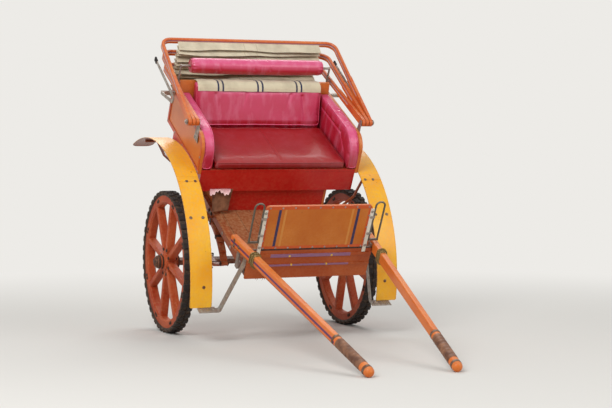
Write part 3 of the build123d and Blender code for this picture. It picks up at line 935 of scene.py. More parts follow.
@dataclass(frozen=True)
class Cloth(Finish):
    """Woven cotton: cream with woven stripes where it has them, soft and without shine."""

    coat: str = "#D8CDB0"
    stripe: str = "#2E3350"
    grime: str = "#7A6A50"
    period: float = 0.150
    stripe_wide: float = 0.014
    dirt: float = 0.4
    thread: float = 1.745

    def build(self, on: Shader) -> Socket:
        """Weave the stripes across the carriage, and the threads at a scale that shows.

        Args:
            on: The shader.

        Returns:
            Its socket.
        """
        parts = on.node("SeparateXYZ", {"Vector": on.at}).node.outputs
        cycle = on.node("Math", (parts["Y"], self.period), operation="PINGPONG")
        off = on.node("Math", (cycle, self.period * 0.12), operation="SUBTRACT")
        far = on.node("Math", (off,), operation="ABSOLUTE")
        half = self.stripe_wide / 2
        inside = on.node("MapRange", {"Value": far, "From Min": half, "From Max": half - 0.001})
        colour = on.node("Mix", {0: inside, 6: self.coat, 7: self.stripe}, **RGBA)
        grime = on.cloud(90, 0.4, 0.8, detail=6)
        grime = on.node("Math", (grime, self.dirt), operation="MULTIPLY")
        colour = on.node("Mix", {0: grime, 6: colour, 7: self.grime}, **RGBA)
        # The real threads lie under 1 mm apart; they are drawn 1.7 mm apart so that they show.
        weave = {"Vector": on.at, "Scale": WAVE_MM / self.thread}
        weft = on.node("TexWave", weave, "Fac", bands_direction="Y")
        warp = on.node("TexWave", weave, "Fac", bands_direction="Z")
        threads = on.node("Math", (weft, warp), operation="ADD")
        bump = on.node("Bump", {"Height": threads, "Strength": 0.5, "Distance": 0.0005})
        return on.node("BsdfPrincipled", {
            "Base Color": colour, "Roughness": 0.85, "Normal": bump, "Sheen Weight": 0.2,
            "Specular IOR Level": 0.2,
        })


@dataclass(frozen=True)
class Hide(Finish):
    """Dry oak-tanned leather: brown, cracked, paler where it bends."""

    coat: str = "#5A3522"
    dry: str = "#96684A"
    crack: float = 6.25

    def build(self, on: Shader) -> Socket:
        """Crack the skin every few millimetres and dry it in patches.

        Args:
            on: The shader.

        Returns:
            Its socket.
        """
        patch = on.cloud(50, 0.35, 0.7, detail=6)
        colour = on.node("Mix", {0: patch, 6: self.coat, 7: self.dry}, **RGBA)
        skin = {"Vector": on.at, "Scale": 1000 / self.crack}
        cracks = on.node("TexVoronoi", skin, "Distance", feature="DISTANCE_TO_EDGE")
        bump = on.node("Bump", {"Height": cracks, "Strength": 0.5, "Distance": 0.0008})
        return on.node("BsdfPrincipled", {"Base Color": colour, "Roughness": 0.62, "Normal": bump})


@dataclass(frozen=True)
class Twine(Finish):
    """Laid sisal rope: pale straw strands, with painted shade in the lay."""

    coat: str = "#A98E5C"
    shade: str = "#5E4A2A"
    lay: float = 5.236
    askew: Point = (0.6, 0.5, 0.7)

    def build(self, on: Shader) -> Socket:
        """Twist the strands by a wave that runs askew to the cord.

        Args:
            on: The shader.

        Returns:
            Its socket.
        """
        askew = on.node("Mapping", {"Vector": on.at, "Rotation": self.askew})
        lay = on.node("TexWave", {
            "Vector": askew, "Scale": WAVE_MM / self.lay, "Distortion": 1.5, "Detail": 2.0,
        }, "Fac")
        # Painted shade: the wave darkens the lay between the strands.
        colour = on.node("Mix", {0: lay, 6: self.shade, 7: self.coat}, **RGBA)
        bump = on.node("Bump", {"Height": lay, "Strength": 0.7, "Distance": 0.0015})
        return on.node("BsdfPrincipled", {
            "Base Color": colour, "Roughness": 0.9, "Normal": bump, "Specular IOR Level": 0.15,
        })


# Sub-assemblies


@dataclass
class Yard:
    """The frame's nodes and stance, and the way that every new piece joins them."""

    nodes: dict
    stance: Stance

    def seat(
        self, item: Item, name: str, slot: str, finish: Finish, replaces: Sequence[str] = (),
        angle: float = 35, body: str | None = "carriage",
    ) -> Item:
        """Move a level piece to the parked frame, shade it, dress it and let it ride.

        Args:
            item: The modelled piece.
            name: The piece's name.
            slot: The record's slot; not used.
            finish: What it is made of.
            replaces: Nodes that it stands for.
            angle: The edge angle in degrees above which shading stays sharp.
            body: The body that it moves with, or None to leave it unattached.

        Returns:
            The finished piece.
        """
        wheel = body is not None and body.startswith("wheel")
        item.data.transform(self.stance.wheel_matrix if wheel else self.stance.matrix)
        item.name = item.data.name = name
        Bench.pick(item)
        bpy.ops.object.shade_smooth_by_angle(angle=math.radians(angle))
        item.data.materials.clear()
        item.data.materials.append(finish.dress(self.stance))
        if body:
            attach(item, body)
        if replaces:
            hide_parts(*replaces)
        LOG.info("%s: %d faces", name, len(item.data.polygons))
        return item


@dataclass
class Tyre:
    """A cross-ply tyre with two rows of chunky lugs, half a pitch apart."""

    yard: Yard
    side: Side
    lugs: int = LUGS
    lug_long: float = 0.042
    lug_foot: float = 0.481
    lug_top: float = 0.4994
    lug_out: float = 0.0442
    groove: float = 0.004
    cleat_r: tuple[float, float] = (0.4745, 0.4915)
    cleat_y: tuple[float, float] = (0.0385, 0.0448)
    wall: tuple[tuple[float, float], ...] = (
        (RIM_R, -RIM_HALF), (0.4735, -0.0375), (0.479, -0.0412), (0.485, -0.0418), (TREAD_R, -0.0385),
        (TREAD_R, -0.006), (0.4855, -0.003), (0.4855, 0.003), (TREAD_R, 0.006),
        (TREAD_R, 0.0385), (0.485, 0.0418), (0.479, 0.0412), (0.4735, 0.0375), (RIM_R, RIM_HALF),
        (RIM_R, -RIM_HALF),
    )

    def build(self) -> None:
        """Spin the carcass and stand the lugs on it."""
        hub = Vector((0, HALF_TRACK * self.side.value, AXLE_Z))
        carcass = Bench.turn(self.wall, hub, Vector((0, 1, 0)), 128)
        places = [
            Matrix.Translation(hub) @ Matrix.Rotation(math.tau / self.lugs * (number + shift), 4, "Y") @ flip
            for shift, flip in ((0.5, Matrix.Rotation(0, 4, "X")), (0, Matrix.Rotation(math.pi, 4, "X")))
            for number in range(self.lugs)
        ]
        tyre = Bench.merge([carcass, *Bench.repeat(self.lug(), places)])
        word = self.side.word
        self.yard.seat(
            tyre, f"tyre_tread_{word}", "tyre_rubber", TYRE_RUBBER, [f"tyre_{word}"], 28, f"wheel_{word}"
        )

    def lug(self) -> Item:
        """One lug on the +X side of the origin, with a cleat down over the shoulder.

        Returns:
            The lug.
        """
        half = self.lug_long / 2
        block = Bench.block((self.lug_foot, self.groove, -half), (self.lug_top, self.lug_out, half))
        Bench.select_faces(block, lambda normal: normal.x > 0.9)
        bpy.ops.transform.resize(value=(1, 0.88, 0.86))
        bpy.ops.mesh.inset(thickness=0.003, depth=0)
        Bench.clear()
        Bench.round_edges(block, 0.0014, 1)
        low, high = zip(self.cleat_r, self.cleat_y)
        cleat = Bench.block((*low, -half * 0.55), (*high, half * 0.55))
        Bench.select_faces(cleat, lambda normal: normal.x < -0.9)
        bpy.ops.transform.resize(value=(1, 0.6, 0.6))
        Bench.clear()
        Bench.round_edges(cleat, 0.001, 1)
        return Bench.merge([block, cleat])


@dataclass
class WheelIrons:
    """The wheel's forged parts: rim band, hub bands, spoke bolts and the axle's cap nut."""

    yard: Yard
    side: Side
    band_r: float = 0.0485
    bands: tuple[tuple[float, float], ...] = ((0.047, 0.057), (0.068, 0.076), (-0.066, -0.058))
    edge: float = 0.001
    nut: float = 0.034
    nut_face: float = HUB_OUTER + 0.016
    bolt: float = 0.015
    hub_bolt: tuple[float, float] = (0.092, 0.029)
    rim_bolt_r: float = 0.441
    rim_bolt_step: float = 0.012

    def build(self) -> None:
        """Make the irons for one wheel."""
        out = self.side.value
        hub = Vector((0, HALF_TRACK * out, AXLE_Z))
        axis = Vector((0, out, 0))
        parts = []
        neck, outer, edge = HUB_NECK_R - 0.001, self.band_r, self.edge
        for low, high in self.bands:
            band = ((neck, low), (outer - edge, low), (outer, low + edge), (outer, high - edge),
                    (outer - edge, high), (neck, high))
            parts.append(Bench.turn((*band, band[0]), hub, axis, 48))
        rim = ((RIM_R - 0.003, 0.0318), (RIM_R - 0.003, 0.0335), (RIM_R, 0.0345), (RIM_R + 0.002, 0.0335),
               (RIM_R + 0.001, 0.0318))
        for end in (1, -1):
            flange = tuple((radius, along * end) for radius, along in rim)
            parts.append(Bench.turn((*flange, flange[0]), hub, axis, 96))
        parts.append(bolts([(hub + axis * self.nut_face, axis)], self.nut, 0.005))
        parts.append(bolts(self.spots(hub, axis), self.bolt, 0.006, True))
        word = self.side.word
        irons = Bench.merge(parts)
        self.yard.seat(irons, f"wheel_irons_{word}", "axle_iron", AXLE_IRON, body=f"wheel_{word}")

    def spots(self, hub: Vector, axis: Vector) -> list[Spot]:
        """Bolts at both ends of every spoke, on the wheel's two faces.

        Args:
            hub: The wheel's middle.
            axis: Its outward axis.

        Returns:
            Each bolt's point and normal.
        """
        found = []
        inner, proud = self.hub_bolt
        for number in range(SPOKES):
            turn = SPOKE_PHASE + math.tau / SPOKES * number
            along = Vector((math.cos(turn), 0, -math.sin(turn)))
            across = Vector((math.sin(turn), 0, math.cos(turn)))
            for face in (1, -1):
                found.append((hub + along * inner + axis * proud * face, axis * face))
                for step in (-self.rim_bolt_step, self.rim_bolt_step):
                    spot = hub + along * self.rim_bolt_r + across * step + axis * RIM_HALF * face
                    found.append((spot, axis * face))
        return found


@dataclass
class SpringIrons:
    """What holds a leaf spring: U-bolts and their plate, leaf clips, a sill strap and eye bolts."""

    yard: Yard
    side: Side
    leg_x: float = 0.030
    leg_y: float = 0.0395
    leg_low: float = 0.452
    leg_r: float = 0.0052
    plate: Point = (0.046, 0.050, 0.4702)
    plate_low: float = 0.462
    clip_angle: float = math.radians(18)
    clip: Point = (0.011, 0.0285, 0.0225)
    strap_x: float = 0.028
    strap_z: tuple[float, float] = (0.8185, 0.915)
    strap_bolt_z: float = 0.902

    def build(self) -> None:
        """Make the irons of one spring."""
        radius = (SPRING_HALF_LONG**2 + SPRING_SAG**2) / (2 * SPRING_SAG)
        low, high = self.leg_low, SPRING_Z - SPRING_SAG + 0.005
        plate_x, plate_y, plate_top = self.plate
        parts = [Bench.round_edges(Bench.block(
            (-plate_x, SPRING_Y - plate_y, self.plate_low), (plate_x, SPRING_Y + plate_y, plate_top)
        ), 0.0015)]
        for x in (-self.leg_x, self.leg_x):
            y_in, y_out = SPRING_Y - self.leg_y, SPRING_Y + self.leg_y
            path = [(x, y_in, low), (x, y_in, high - 0.004), (x, y_in + 0.002, high), (x, y_in + 0.012, high),
                    (x, y_out - 0.012, high), (x, y_out - 0.002, high), (x, y_out, high - 0.004),
                    (x, y_out, low)]
            parts.append(Bench.wire(path, self.leg_r))
            for y in (y_in, y_out):
                parts.append(bolts([(Vector((x, y, self.plate_low)), Vector((0, 0, -1)))], 0.018, 0.009))
        half_x, half_y, deep = self.clip
        for up in (1, -1):
            centre = Vector((0, SPRING_Y, SPRING_Z + up * (SPRING_SAG - radius)))
            for turn in (-self.clip_angle, self.clip_angle):
                clip = Bench.block((-half_x, -half_y, radius - 0.003), (half_x, half_y, radius + deep))
                Bench.round_edges(clip, 0.002)
                flip = Matrix.Rotation(0 if up > 0 else math.pi, 4, "Y")
                clip.data.transform(Matrix.Translation(centre) @ flip @ Matrix.Rotation(turn, 4, "Y"))
                parts.append(clip)
        foot, top = self.strap_z
        for x in (-self.strap_x, self.strap_x):
            strap = Bench.block((x - half_x, SPRING_Y - half_y, foot), (x + half_x, SPRING_Y + half_y, top))
            Bench.select_faces(strap, lambda normal: normal.z > 0.9)
            bpy.ops.mesh.delete(type="FACE")
            Bench.clear()
            Bench.modify(strap, "SOLIDIFY", thickness=0.003, offset=-1)
            parts.append(Bench.round_edges(strap, 0.0008, 1))
            spots = [
                (Vector((x, SPRING_Y + y, self.strap_bolt_z)), Vector((0, y, 0)).normalized())
                for y in (-half_y, half_y)
            ]
            parts.append(bolts(spots, 0.014, 0.006, True))
        eyes = [
            (Vector((x, SPRING_Y + y, SPRING_Z)), Vector((0, y, 0)).normalized())
            for x in (-SPRING_HALF_LONG, SPRING_HALF_LONG)
            for y in (-SPRING_HALF_WIDE, SPRING_HALF_WIDE)
        ]
        parts.append(bolts(eyes, 0.021, 0.010))
        irons = mirrored(Bench.merge(parts), self.side)
        self.yard.seat(irons, f"spring_irons_{self.side.word}", "axle_iron", AXLE_IRON)


@dataclass
class FrameBolts:
    """Coach bolts in the sills, the risers and the seat box."""

    yard: Yard
    rows: tuple[tuple[float, tuple[float, ...], tuple[float, ...]], ...] = (
        (SILL_OUTER, (-0.535, -0.33, 0.0, 0.28, 0.46, 0.63, 0.762), (0.900,)),
        (0.403, (-0.5, -0.25, -0.02), (0.965, 1.065)),
        (SEAT_HALF, (-0.55, -0.30, -0.05), (1.125, 1.232)),
    )

    def build(self) -> None:
        """Set a head at every spot of the boards' rows, by Y, X and Z."""
        spots = [
            (Vector((x, y * side, z)), Vector((0, side, 0)))
            for side in (1, -1) for y, along, heights in self.rows for x in along for z in heights
        ]
        heads = bolts(spots, 0.016, 0.006, True)
        self.yard.seat(heads, "frame_bolts", "axle_iron", WEATHERED_STEEL)


@dataclass
class DashFittings:
    """Nails round the dash frame, the staples of the grab handles and the posts' screws."""

    yard: Yard
    inset: float = 0.013
    pitch: float = 0.094
    end: float = 0.012
    side_nails: Point = (1.16, 1.25, 1.34)
    post_face: float = 0.809
    post_y: float = 0.378
    post_screws: tuple[float, float] = (1.112, 1.372)
    staples: tuple[float, float] = (1.205, 1.330)
    staple_y: tuple[float, float] = (0.369, 0.405)
    staple_half: float = 0.008
    staple_face: float = 0.8142
    staple_screw_y: float = 0.377

    def build(self) -> None:
        """Set the nails, screws and staples."""
        ahead = Vector((1, 0, 0))
        nails = []
        half = DASH_HALF - self.inset
        count = round(2 * half / self.pitch)
        for number in range(count + 1):
            y = half - self.end - number * 2 * (half - self.end) / count
            for z in (DASH_SPLIT + self.inset, DASH_TOP - self.inset):
                nails.append((Vector((DASH_FRONT, y, z)), ahead))
        nails += [(Vector((DASH_FRONT, half * side, z)), ahead) for z in self.side_nails for side in (1, -1)]
        parts = [bolts(nails, 0.0075, 0.0025, True)]
        for side in (1, -1):
            for z in self.post_screws:
                spot = Vector((self.post_face, self.post_y * side, z))
                parts.append(bolts([(spot, ahead)], 0.012, 0.005, True))
            for z in self.staples:
                low, high = sorted(y * side for y in self.staple_y)
                tall = self.staple_half
                clip = Bench.block((self.post_face, low, z - tall), (self.staple_face, high, z + tall))
                parts.append(Bench.round_edges(clip, 0.0015))
                spot = Vector((self.staple_face, self.staple_screw_y * side, z))
                parts.append(bolts([(spot, ahead)], 0.010, 0.004, True))
        fittings = Bench.merge(parts)
        self.yard.seat(fittings, "dash_fittings", "grey_steel", WEATHERED_STEEL)


@dataclass
class SplinteredFoot:
    """The front panel's lower edge, broken into splinters of bare wood."""

    yard: Yard
    foot: float = 0.8665
    front: float = 0.794
    rows: tuple[tuple[float, float, float], ...] = (
        (-0.352, 9, 14), (-0.338, 6, 22), (-0.319, 8, 11), (-0.301, 5, 25), (-0.287, 7, 17), (-0.262, 9, 8),
        (-0.214, 6, 12), (-0.142, 8, 9), (-0.066, 6, 10), (0.028, 9, 12), (0.091, 6, 18), (0.108, 8, 11),
        (0.196, 7, 9), (0.251, 5, 20), (0.266, 8, 13), (0.327, 7, 16), (0.345, 9, 10),
    )

    def build(self) -> None:
        """Taper one splinter and copy it along the edge, by its place, width and length in mm."""
        Bench.clear()
        bpy.ops.mesh.primitive_cone_add(vertices=5, radius1=0.5, radius2=0.06, depth=1, location=(0, 0, -0.5))
        splinter = Bench.apply_place(bpy.context.object)
        splinter.data.transform(Matrix.Rotation(math.pi, 4, "X") @ Matrix.Translation((0, 0, 1)))
        places = [
            Matrix.Translation((self.front, y, self.foot + 0.004)) @ Matrix.Rotation(y * 0.9, 4, "X")
            @ Matrix.Diagonal((0.006, wide * MM, (long + 4) * MM, 1))
            for y, wide, long in self.rows
        ]
        splinters = Bench.merge(Bench.repeat(splinter, places))
        self.yard.seat(splinters, "front_panel_splinters", "lower_panel", BARE_WOOD, angle=30)


def round_corner(
    front: float, top: float, corner: float, reach: float, turns: Iterable[float]
) -> list[tuple[float, float]]:
    """Points (x, z) round a panel's upper front corner."""
    x, z = front - corner, top - corner
    return [(x + reach * math.cos(turn), z + reach * math.sin(turn)) for turn in turns]


@dataclass
class RestPads:
    """Dark rubber pads strapped on the ends of the hood's rests."""

    yard: Yard
    side: Side
    end: tuple[float, float] = (-0.906, 1.644)
    iron: tuple[float, float] = (0.694, 0.700)
    half: float = 0.0085
    wall: float = 0.004
    slope: float = 0.165

    def build(self) -> None:
        """Sleeve the iron's end, with a groove where the strap pulls in."""
        parts = []
        for step, half in ((-0.022, 0.0165), (-0.006, 0.0150), (0.010, 0.0165)):
            low, high = self.iron[0] - self.wall, self.iron[1] + self.wall
            sleeve = Bench.block((-self.half, low, -half), (self.half, high, half))
            Bench.round_edges(sleeve, 0.003)
            lean = Matrix.Rotation(self.slope, 4, "Y")
            sleeve.data.transform(lean @ Matrix.Translation((step + 0.016, 0, 0)))
            parts.append(sleeve)
        pad = Bench.merge(parts)
        pad.data.transform(Matrix.Translation((self.end[0] + 0.012, 0, self.end[1])))
        mirrored(pad, self.side)
        self.yard.seat(pad, f"hood_rest_pad_{self.side.word}", "tyre_rubber", PAD_RUBBER)


@dataclass
class SidePanelTrim:
    """A bead round each side panel's field and the screws of its frame."""

    yard: Yard
    side: Side
    bead: float = 0.004
    corner: float = 0.086
    screw_x: tuple[float, ...] = (-0.715, -0.53, -0.34, -0.16)
    front_screw_z: tuple[float, float] = (1.25, 1.36)

    def build(self) -> None:
        """Run the bead along the field's edge and set the screws."""
        rear, front = SIDE_REAR + SIDE_RIM, SEAT_FRONT - SIDE_RIM
        low, high = SIDE_LOW + SIDE_RIM, SIDE_TOP - SIDE_RIM
        y = SIDE_OUTER - 0.0045
        path = [(rear, y, low), (front, y, low), (front, y, high - self.corner)]
        turns = [math.pi / 2 * step / 8 for step in range(1, 8)]
        path += [(x, y, z) for x, z in round_corner(front, high, self.corner, self.corner, turns)]
        path += [(front - self.corner, y, high), (rear, y, high)]
        bead = mirrored(Bench.wire(path, self.bead, closed=True, smooth=False), self.side)
        word = self.side.word
        self.yard.seat(bead, f"side_bead_{word}", "orange_panel", SIDE_BORDER)
        out = Vector((0, 1, 0))
        middle = SIDE_RIM / 2
        rows = (SIDE_LOW + middle, SIDE_TOP - middle)
        spots = [(Vector((x, SIDE_OUTER, z)), out) for x in self.screw_x for z in rows]
        spots += [(Vector((SEAT_FRONT - middle, SIDE_OUTER, z)), out) for z in self.front_screw_z]
        screws = mirrored(bolts(spots, 0.010, 0.003, True), self.side)
        self.yard.seat(screws, f"side_screws_{word}", "grey_steel", WEATHERED_STEEL)


@dataclass
class Swell:
    voxel: float = 0.009
    pressure: float = 4.0
    cap: float = 0.014
    frames: int = 20

    def blow(self, item: Item) -> Item:
        """Remesh, simulate, cap how far each point went, and smooth once.

        Args:
            item: The closed shape, a little smaller than the pad.

        Returns:
            The same object, swollen.
        """
        Bench.modify(item, "REMESH", mode="VOXEL", voxel_size=self.voxel)
        before = [vertex.co.copy() for vertex in item.data.vertices]
        Bench.pick(item)
        modifier = item.modifiers.new("Swell", "CLOTH")
        settings = modifier.settings
        settings.quality = 5
        settings.use_pressure = True
        settings.uniform_pressure_force = self.pressure
        settings.effector_weights.gravity = 0
        settings.tension_stiffness = settings.compression_stiffness = 12
        settings.bending_stiffness = 0.6
        modifier.collision_settings.use_self_collision = False
        scene = bpy.context.scene
        modifier.point_cache.frame_start, modifier.point_cache.frame_end = 1, self.frames
        for frame in range(1, self.frames + 1):
            scene.frame_set(frame)
        bpy.ops.object.modifier_apply(modifier=modifier.name)
        scene.frame_set(1)
        for vertex, start in zip(item.data.vertices, before):
            move = vertex.co - start
            if move.length > self.cap:
                vertex.co = start + move.normalized() * self.cap
        return Bench.modify(item, "SUBSURF", levels=1, render_levels=1)


def press(item: Item, creases: Sequence[Crease]) -> None:
    """Push a pad's surface in along its creases.

    Args:
        item: The object.
        creases: Where it is pressed.
    """
    for first, last, wide, deep in creases:
        start, along = Vector(first), Vector(last) - Vector(first)
        normals = [vertex.normal.copy() for vertex in item.data.vertices]
        for vertex, normal in zip(item.data.vertices, normals):
            share = max(0.0, min(1.0, (vertex.co - start).dot(along) / along.length_squared))
            away = (vertex.co - start - along * share).length
            if away < 3 * wide:
                depth = deep * math.exp(-((away / wide) ** 2))
                vertex.co -= normal * depth


def settle(item: Item, points: Sequence[Vector], radius: float) -> Item:
    """Lay a piping cord along a pad: each point goes to the nearest place on its surface.

    Args:
        item: The object.
        points: The cord's way.
        radius: Half its thickness.

    Returns:
        The cord.
    """
    path = []
    for point in points:
        found, at, normal, _ = item.closest_point_on_mesh(point)
        path.append(at + normal * radius * 0.5 if found else point)
    return Bench.wire(path, radius, closed=True)


def ring_points(corners: Sequence[Vector], step: float = 0.03) -> list[Vector]:
    """Points along a closed path of straight runs, a small step apart.

    Args:
        corners: The path's corners.
        step: How far apart the points are.

    Returns:
        The points.
    """
    found = []
    for start, end in zip(corners, [*corners[1:], corners[0]]):
        count = max(1, round((end - start).length / step))
        found += [start.lerp(end, index / count) for index in range(count)]
    return found


def prism(section: Sequence[tuple[float, float]], y_from: float, y_to: float) -> Item:
    """Extrude a section of (x, z) points along Y.

    Args:
        section: The outline.
        y_from: Where it starts.
        y_to: Where it ends.

    Returns:
        The prism.
    """
    Bench.clear()
    mesh = bpy.data.meshes.new("prism")
    count = len(section)
    mesh.from_pydata(
        [(x, y_from, z) for x, z in section], [(index, (index + 1) % count) for index in range(count)], []
    )
    item = Bench.add("prism", mesh)
    Bench.pick(item)
    bpy.ops.object.mode_set(mode="EDIT")
    bpy.ops.mesh.select_all(action="SELECT")
    bpy.ops.mesh.edge_face_add()
    bpy.ops.mesh.extrude_region_move(TRANSFORM_OT_translate={"value": (0, y_to - y_from, 0)})
    bpy.ops.mesh.select_all(action="SELECT")
    bpy.ops.mesh.normals_make_consistent(inside=False)
    Bench.clear()
    return item


def back_x(z: float) -> float:
    """The front face of the leaning back board."""
    return BACK_FOOT - (z - SEAT_DECK) * BACK_LEAN / (BACK_TOP - SEAT_DECK)


@dataclass
class Upholstery:
    """The padded pieces: back and seat cushions, arm pads and the bolster above the back."""

    yard: Yard
    half: float = 0.496
    piping: float = 0.0042
    arm_y: tuple[float, float] = (0.504, 0.571)
    arm_roll_y: float = 0.548
    arm_roll_r: float = 0.038

    def build(self) -> None:
        """Make every pad with its piping."""
        self.back()
        self.seat()
        self.bolster()
        for side in Side:
            self.arm(side)

    def finish(self, pad: Item, cords: Sequence[Item], name: str, finish: Finish, fill: float) -> None:
        """Args:
            pad: The pad.
            cords: Its piping.
            name: The CAD node that it stands for.
            finish: Its vinyl.
            fill: How tight it is, from 0 to 1; not used.
        """
        slot = "pink_vinyl" if finish is PINK_VINYL else "red_vinyl"
        whole = Bench.merge([pad, *cords])
        self.yard.seat(whole, f"{name}_vinyl", slot, finish, [name], 60)

    def back(self) -> None:
        """The back cushion: fuller low down, its top edge high at the ends."""
        low, high = SEAT_DECK, BACK_TOP
        swell = low + 0.3 * (high - low)
        foot, head = back_x(low), back_x(high)
        section = [
            (foot + 0.004, low + 0.006), (foot + 0.088, low + 0.006), (back_x(swell) + 0.104, swell),
            (head + 0.080, high - 0.006), (head + 0.048, high + 0.012), (head + 0.004, high),
        ]
        pad = prism(section, -self.half + 0.006, self.half - 0.006)
        Bench.round_edges(pad, 0.022, 3)
        Swell(cap=0.012).blow(pad)
        for vertex in pad.data.vertices:
            share = abs(vertex.co.y) / self.half
            rise = (vertex.co.z - low) / (high - low)
            if rise > 0.5:
                vertex.co.z += (share**2 - 0.45) * 0.012 * (rise - 0.5) * 2
        top = back_x(1.56) + 0.1
        press(pad, [
            ((-0.49, -0.128, 1.451), (top, -0.10, 1.56), 0.012, 0.009),
            ((-0.49, -0.015, 1.491), (top, 0.02, 1.57), 0.010, 0.007),
            ((-0.47, -0.30, 1.40), (top, -0.33, 1.55), 0.012, 0.008),
            ((-0.47, 0.20, 1.42), (top, 0.24, 1.55), 0.012, 0.008),
            ((-0.47, 0.36, 1.38), (top, 0.33, 1.54), 0.011, 0.007),
            ((-0.46, -self.half, 1.345), (-0.46, self.half, 1.345), 0.010, 0.008),
        ])
        end = self.half - 0.004
        low_x, low_z, high_x, high_z = foot + 0.098, low + 0.07, head + 0.083, high + 0.002
        ring = ((low_x, end, low_z), (high_x, end, high_z), (high_x, -end, high_z), (low_x, -end, low_z))
        cord = settle(pad, ring_points([Vector(corner) for corner in ring]), self.piping)
        self.finish(pad, [cord], "back_cushion", PINK_VINYL, 0.7)

    def seat(self) -> None:
        """The seat cushion, its front edge rolled over the deck."""
        low, high = SEAT_DECK, SEAT_DECK + 0.064
        rear, front = back_x(SEAT_DECK) + 0.096, SEAT_FRONT + 0.014
        pad = Bench.block((rear, -self.half + 0.006, low + 0.004), (front, self.half - 0.006, high - 0.006))
        Bench.round_edges(pad, 0.020, 3)
        Swell(cap=0.010).blow(pad)
        press(pad, [
            ((-0.40, -0.25, high), (-0.15, -0.25, high), 0.09, 0.006),
            ((-0.40, 0.24, high), (-0.15, 0.24, high), 0.09, 0.006),
            ((-0.44, 0.0, high), (0.02, 0.004, high), 0.009, 0.006),
        ])
        for vertex in pad.data.vertices:
            vertex.co.z = max(vertex.co.z, low + 0.0005)
        end = self.half - 0.006
        corners = [Vector((x, y, high)) for x, y in ((front, end), (front, -end), (rear, -end), (rear, end))]
        cord = settle(pad, ring_points(corners), self.piping)
        self.finish(pad, [cord], "seat_cushion", DARK_VINYL, 0.6)

    def bolster(self) -> None:
        """The long roll above the back, gathered into a stitched ring at each end."""
        middle = Vector((BOLSTER_X, 0, BOLSTER_Z))
        half, radius = BOLSTER_HALF - 0.004, BOLSTER_R
        ends = ((0.0, 0.0), (radius * 0.62, 0.0), (radius * 0.84, 0.006), (radius * 0.945, 0.02))
        profile = [(away, inset - half) for away, inset in ends]
        for step in range(9):
            share = step / 8
            bulge = 0.95 + 0.035 * math.sin(math.pi * share) ** 0.5
            profile.append((radius * bulge, (-half + 0.04) * (1 - share) + (half - 0.04) * share))
        profile += [(away, half - inset) for away, inset in reversed(ends)]
        roll = Bench.turn(profile, middle, Vector((0, 1, 0)), 48)
        Swell(cap=0.004, voxel=0.007).blow(roll)
        for vertex in roll.data.vertices:
            share = vertex.co.y / half
            vertex.co.z += (share**2 - 0.5) * 0.004
            turn = math.atan2(vertex.co.z - middle.z, vertex.co.x - middle.x)
            near = max(0.0, abs(share) - 0.9) / 0.1
            ripple = math.sin(turn * 14 + share * 5) * 0.0018 * near
            vertex.co.x += math.cos(turn) * ripple
            vertex.co.z += math.sin(turn) * ripple
        press(roll, [
            ((middle.x, -0.053, middle.z + 0.06), (middle.x + 0.06, -0.03, middle.z), 0.010, 0.003),
            ((middle.x, 0.07, middle.z + 0.06), (middle.x + 0.06, 0.09, middle.z), 0.010, 0.003),
            ((middle.x + 0.03, -0.31, middle.z + 0.05), (middle.x + 0.06, -0.29, middle.z), 0.010, 0.003),
        ])
        cords = []
        for end in (1, -1):
            centre = middle + Vector((0, (half - 0.003) * end, 0))
            turns = [math.tau * step / 24 for step in range(24)]
            points = [centre + Vector((math.cos(turn), 0, math.sin(turn))) * radius * 0.80 for turn in turns]
            cords.append(settle(roll, points, 0.0036))
        self.finish(roll, cords, "bolster", PINK_VINYL, 0.85)

    def arm(self, side: Side) -> None:
        """The arm pad: it lines the side panel and rolls over its top and round front corner.

        Args:
            side: The side that it is for.
        """
        front = SEAT_FRONT + 0.008
        low, high, radius = SEAT_DECK + 0.006, SIDE_TOP + 0.018, 0.175
        section = [(back_x(low) + 0.006, low), (front, low), (front, high - radius)]
        section += round_corner(front, high, radius, radius, [math.pi / 2 * step / 9 for step in range(1, 9)])
        section += [(front - radius, high), (back_x(high) + 0.006, high)]
        lining = prism(section, *self.arm_y)
        thick, y = self.arm_roll_r, self.arm_roll_y
        path = [(back_x(high) + 0.045, y, high - thick), (-0.4, y, high - thick)]
        turns = [math.pi / 2 * (1 - step / 7) for step in range(8)]
        path += [(x, y, z) for x, z in round_corner(front, high, radius, radius - thick, turns)]
        path.append((front - thick, y, low + 0.04))
        roll = Bench.wire(path, thick, sides=5)
        pad = Bench.merge([lining, roll])
        Swell(cap=0.006, voxel=0.008).blow(pad)
        for vertex in pad.data.vertices:
            inside = vertex.co.z < SIDE_TOP - 0.002 and vertex.co.x < SEAT_FRONT - 0.002
            vertex.co.y = min(vertex.co.y, 0.588 if inside else 0.597)
        press(pad, [
            ((-0.60, 0.503, 1.455), (-0.16, 0.503, 1.455), 0.008, 0.006),
            ((-0.16, 0.503, 1.455), (-0.05, 0.503, 1.37), 0.008, 0.006),
            ((-0.38, 0.56, high), (-0.36, 0.50, high - 0.06), 0.010, 0.004),
            ((-0.20, 0.56, high), (-0.21, 0.50, high - 0.06), 0.010, 0.004),
        ])
        points = [Vector((x, 0.589, z)) for x, z in section[1:]]
        spread = [start.lerp(end, part / 3) for start, end in zip(points, points[1:]) for part in range(3)]
        back_line = [Vector((x, 0.507, z)) for x, z in reversed(section[1:])]
        cord = settle(pad, [*spread, *back_line], self.piping)
        mirrored(pad, side)
        mirrored(cord, side)
        self.finish(pad, [cord], f"arm_pad_{side.word}", PINK_VINYL, 0.75)


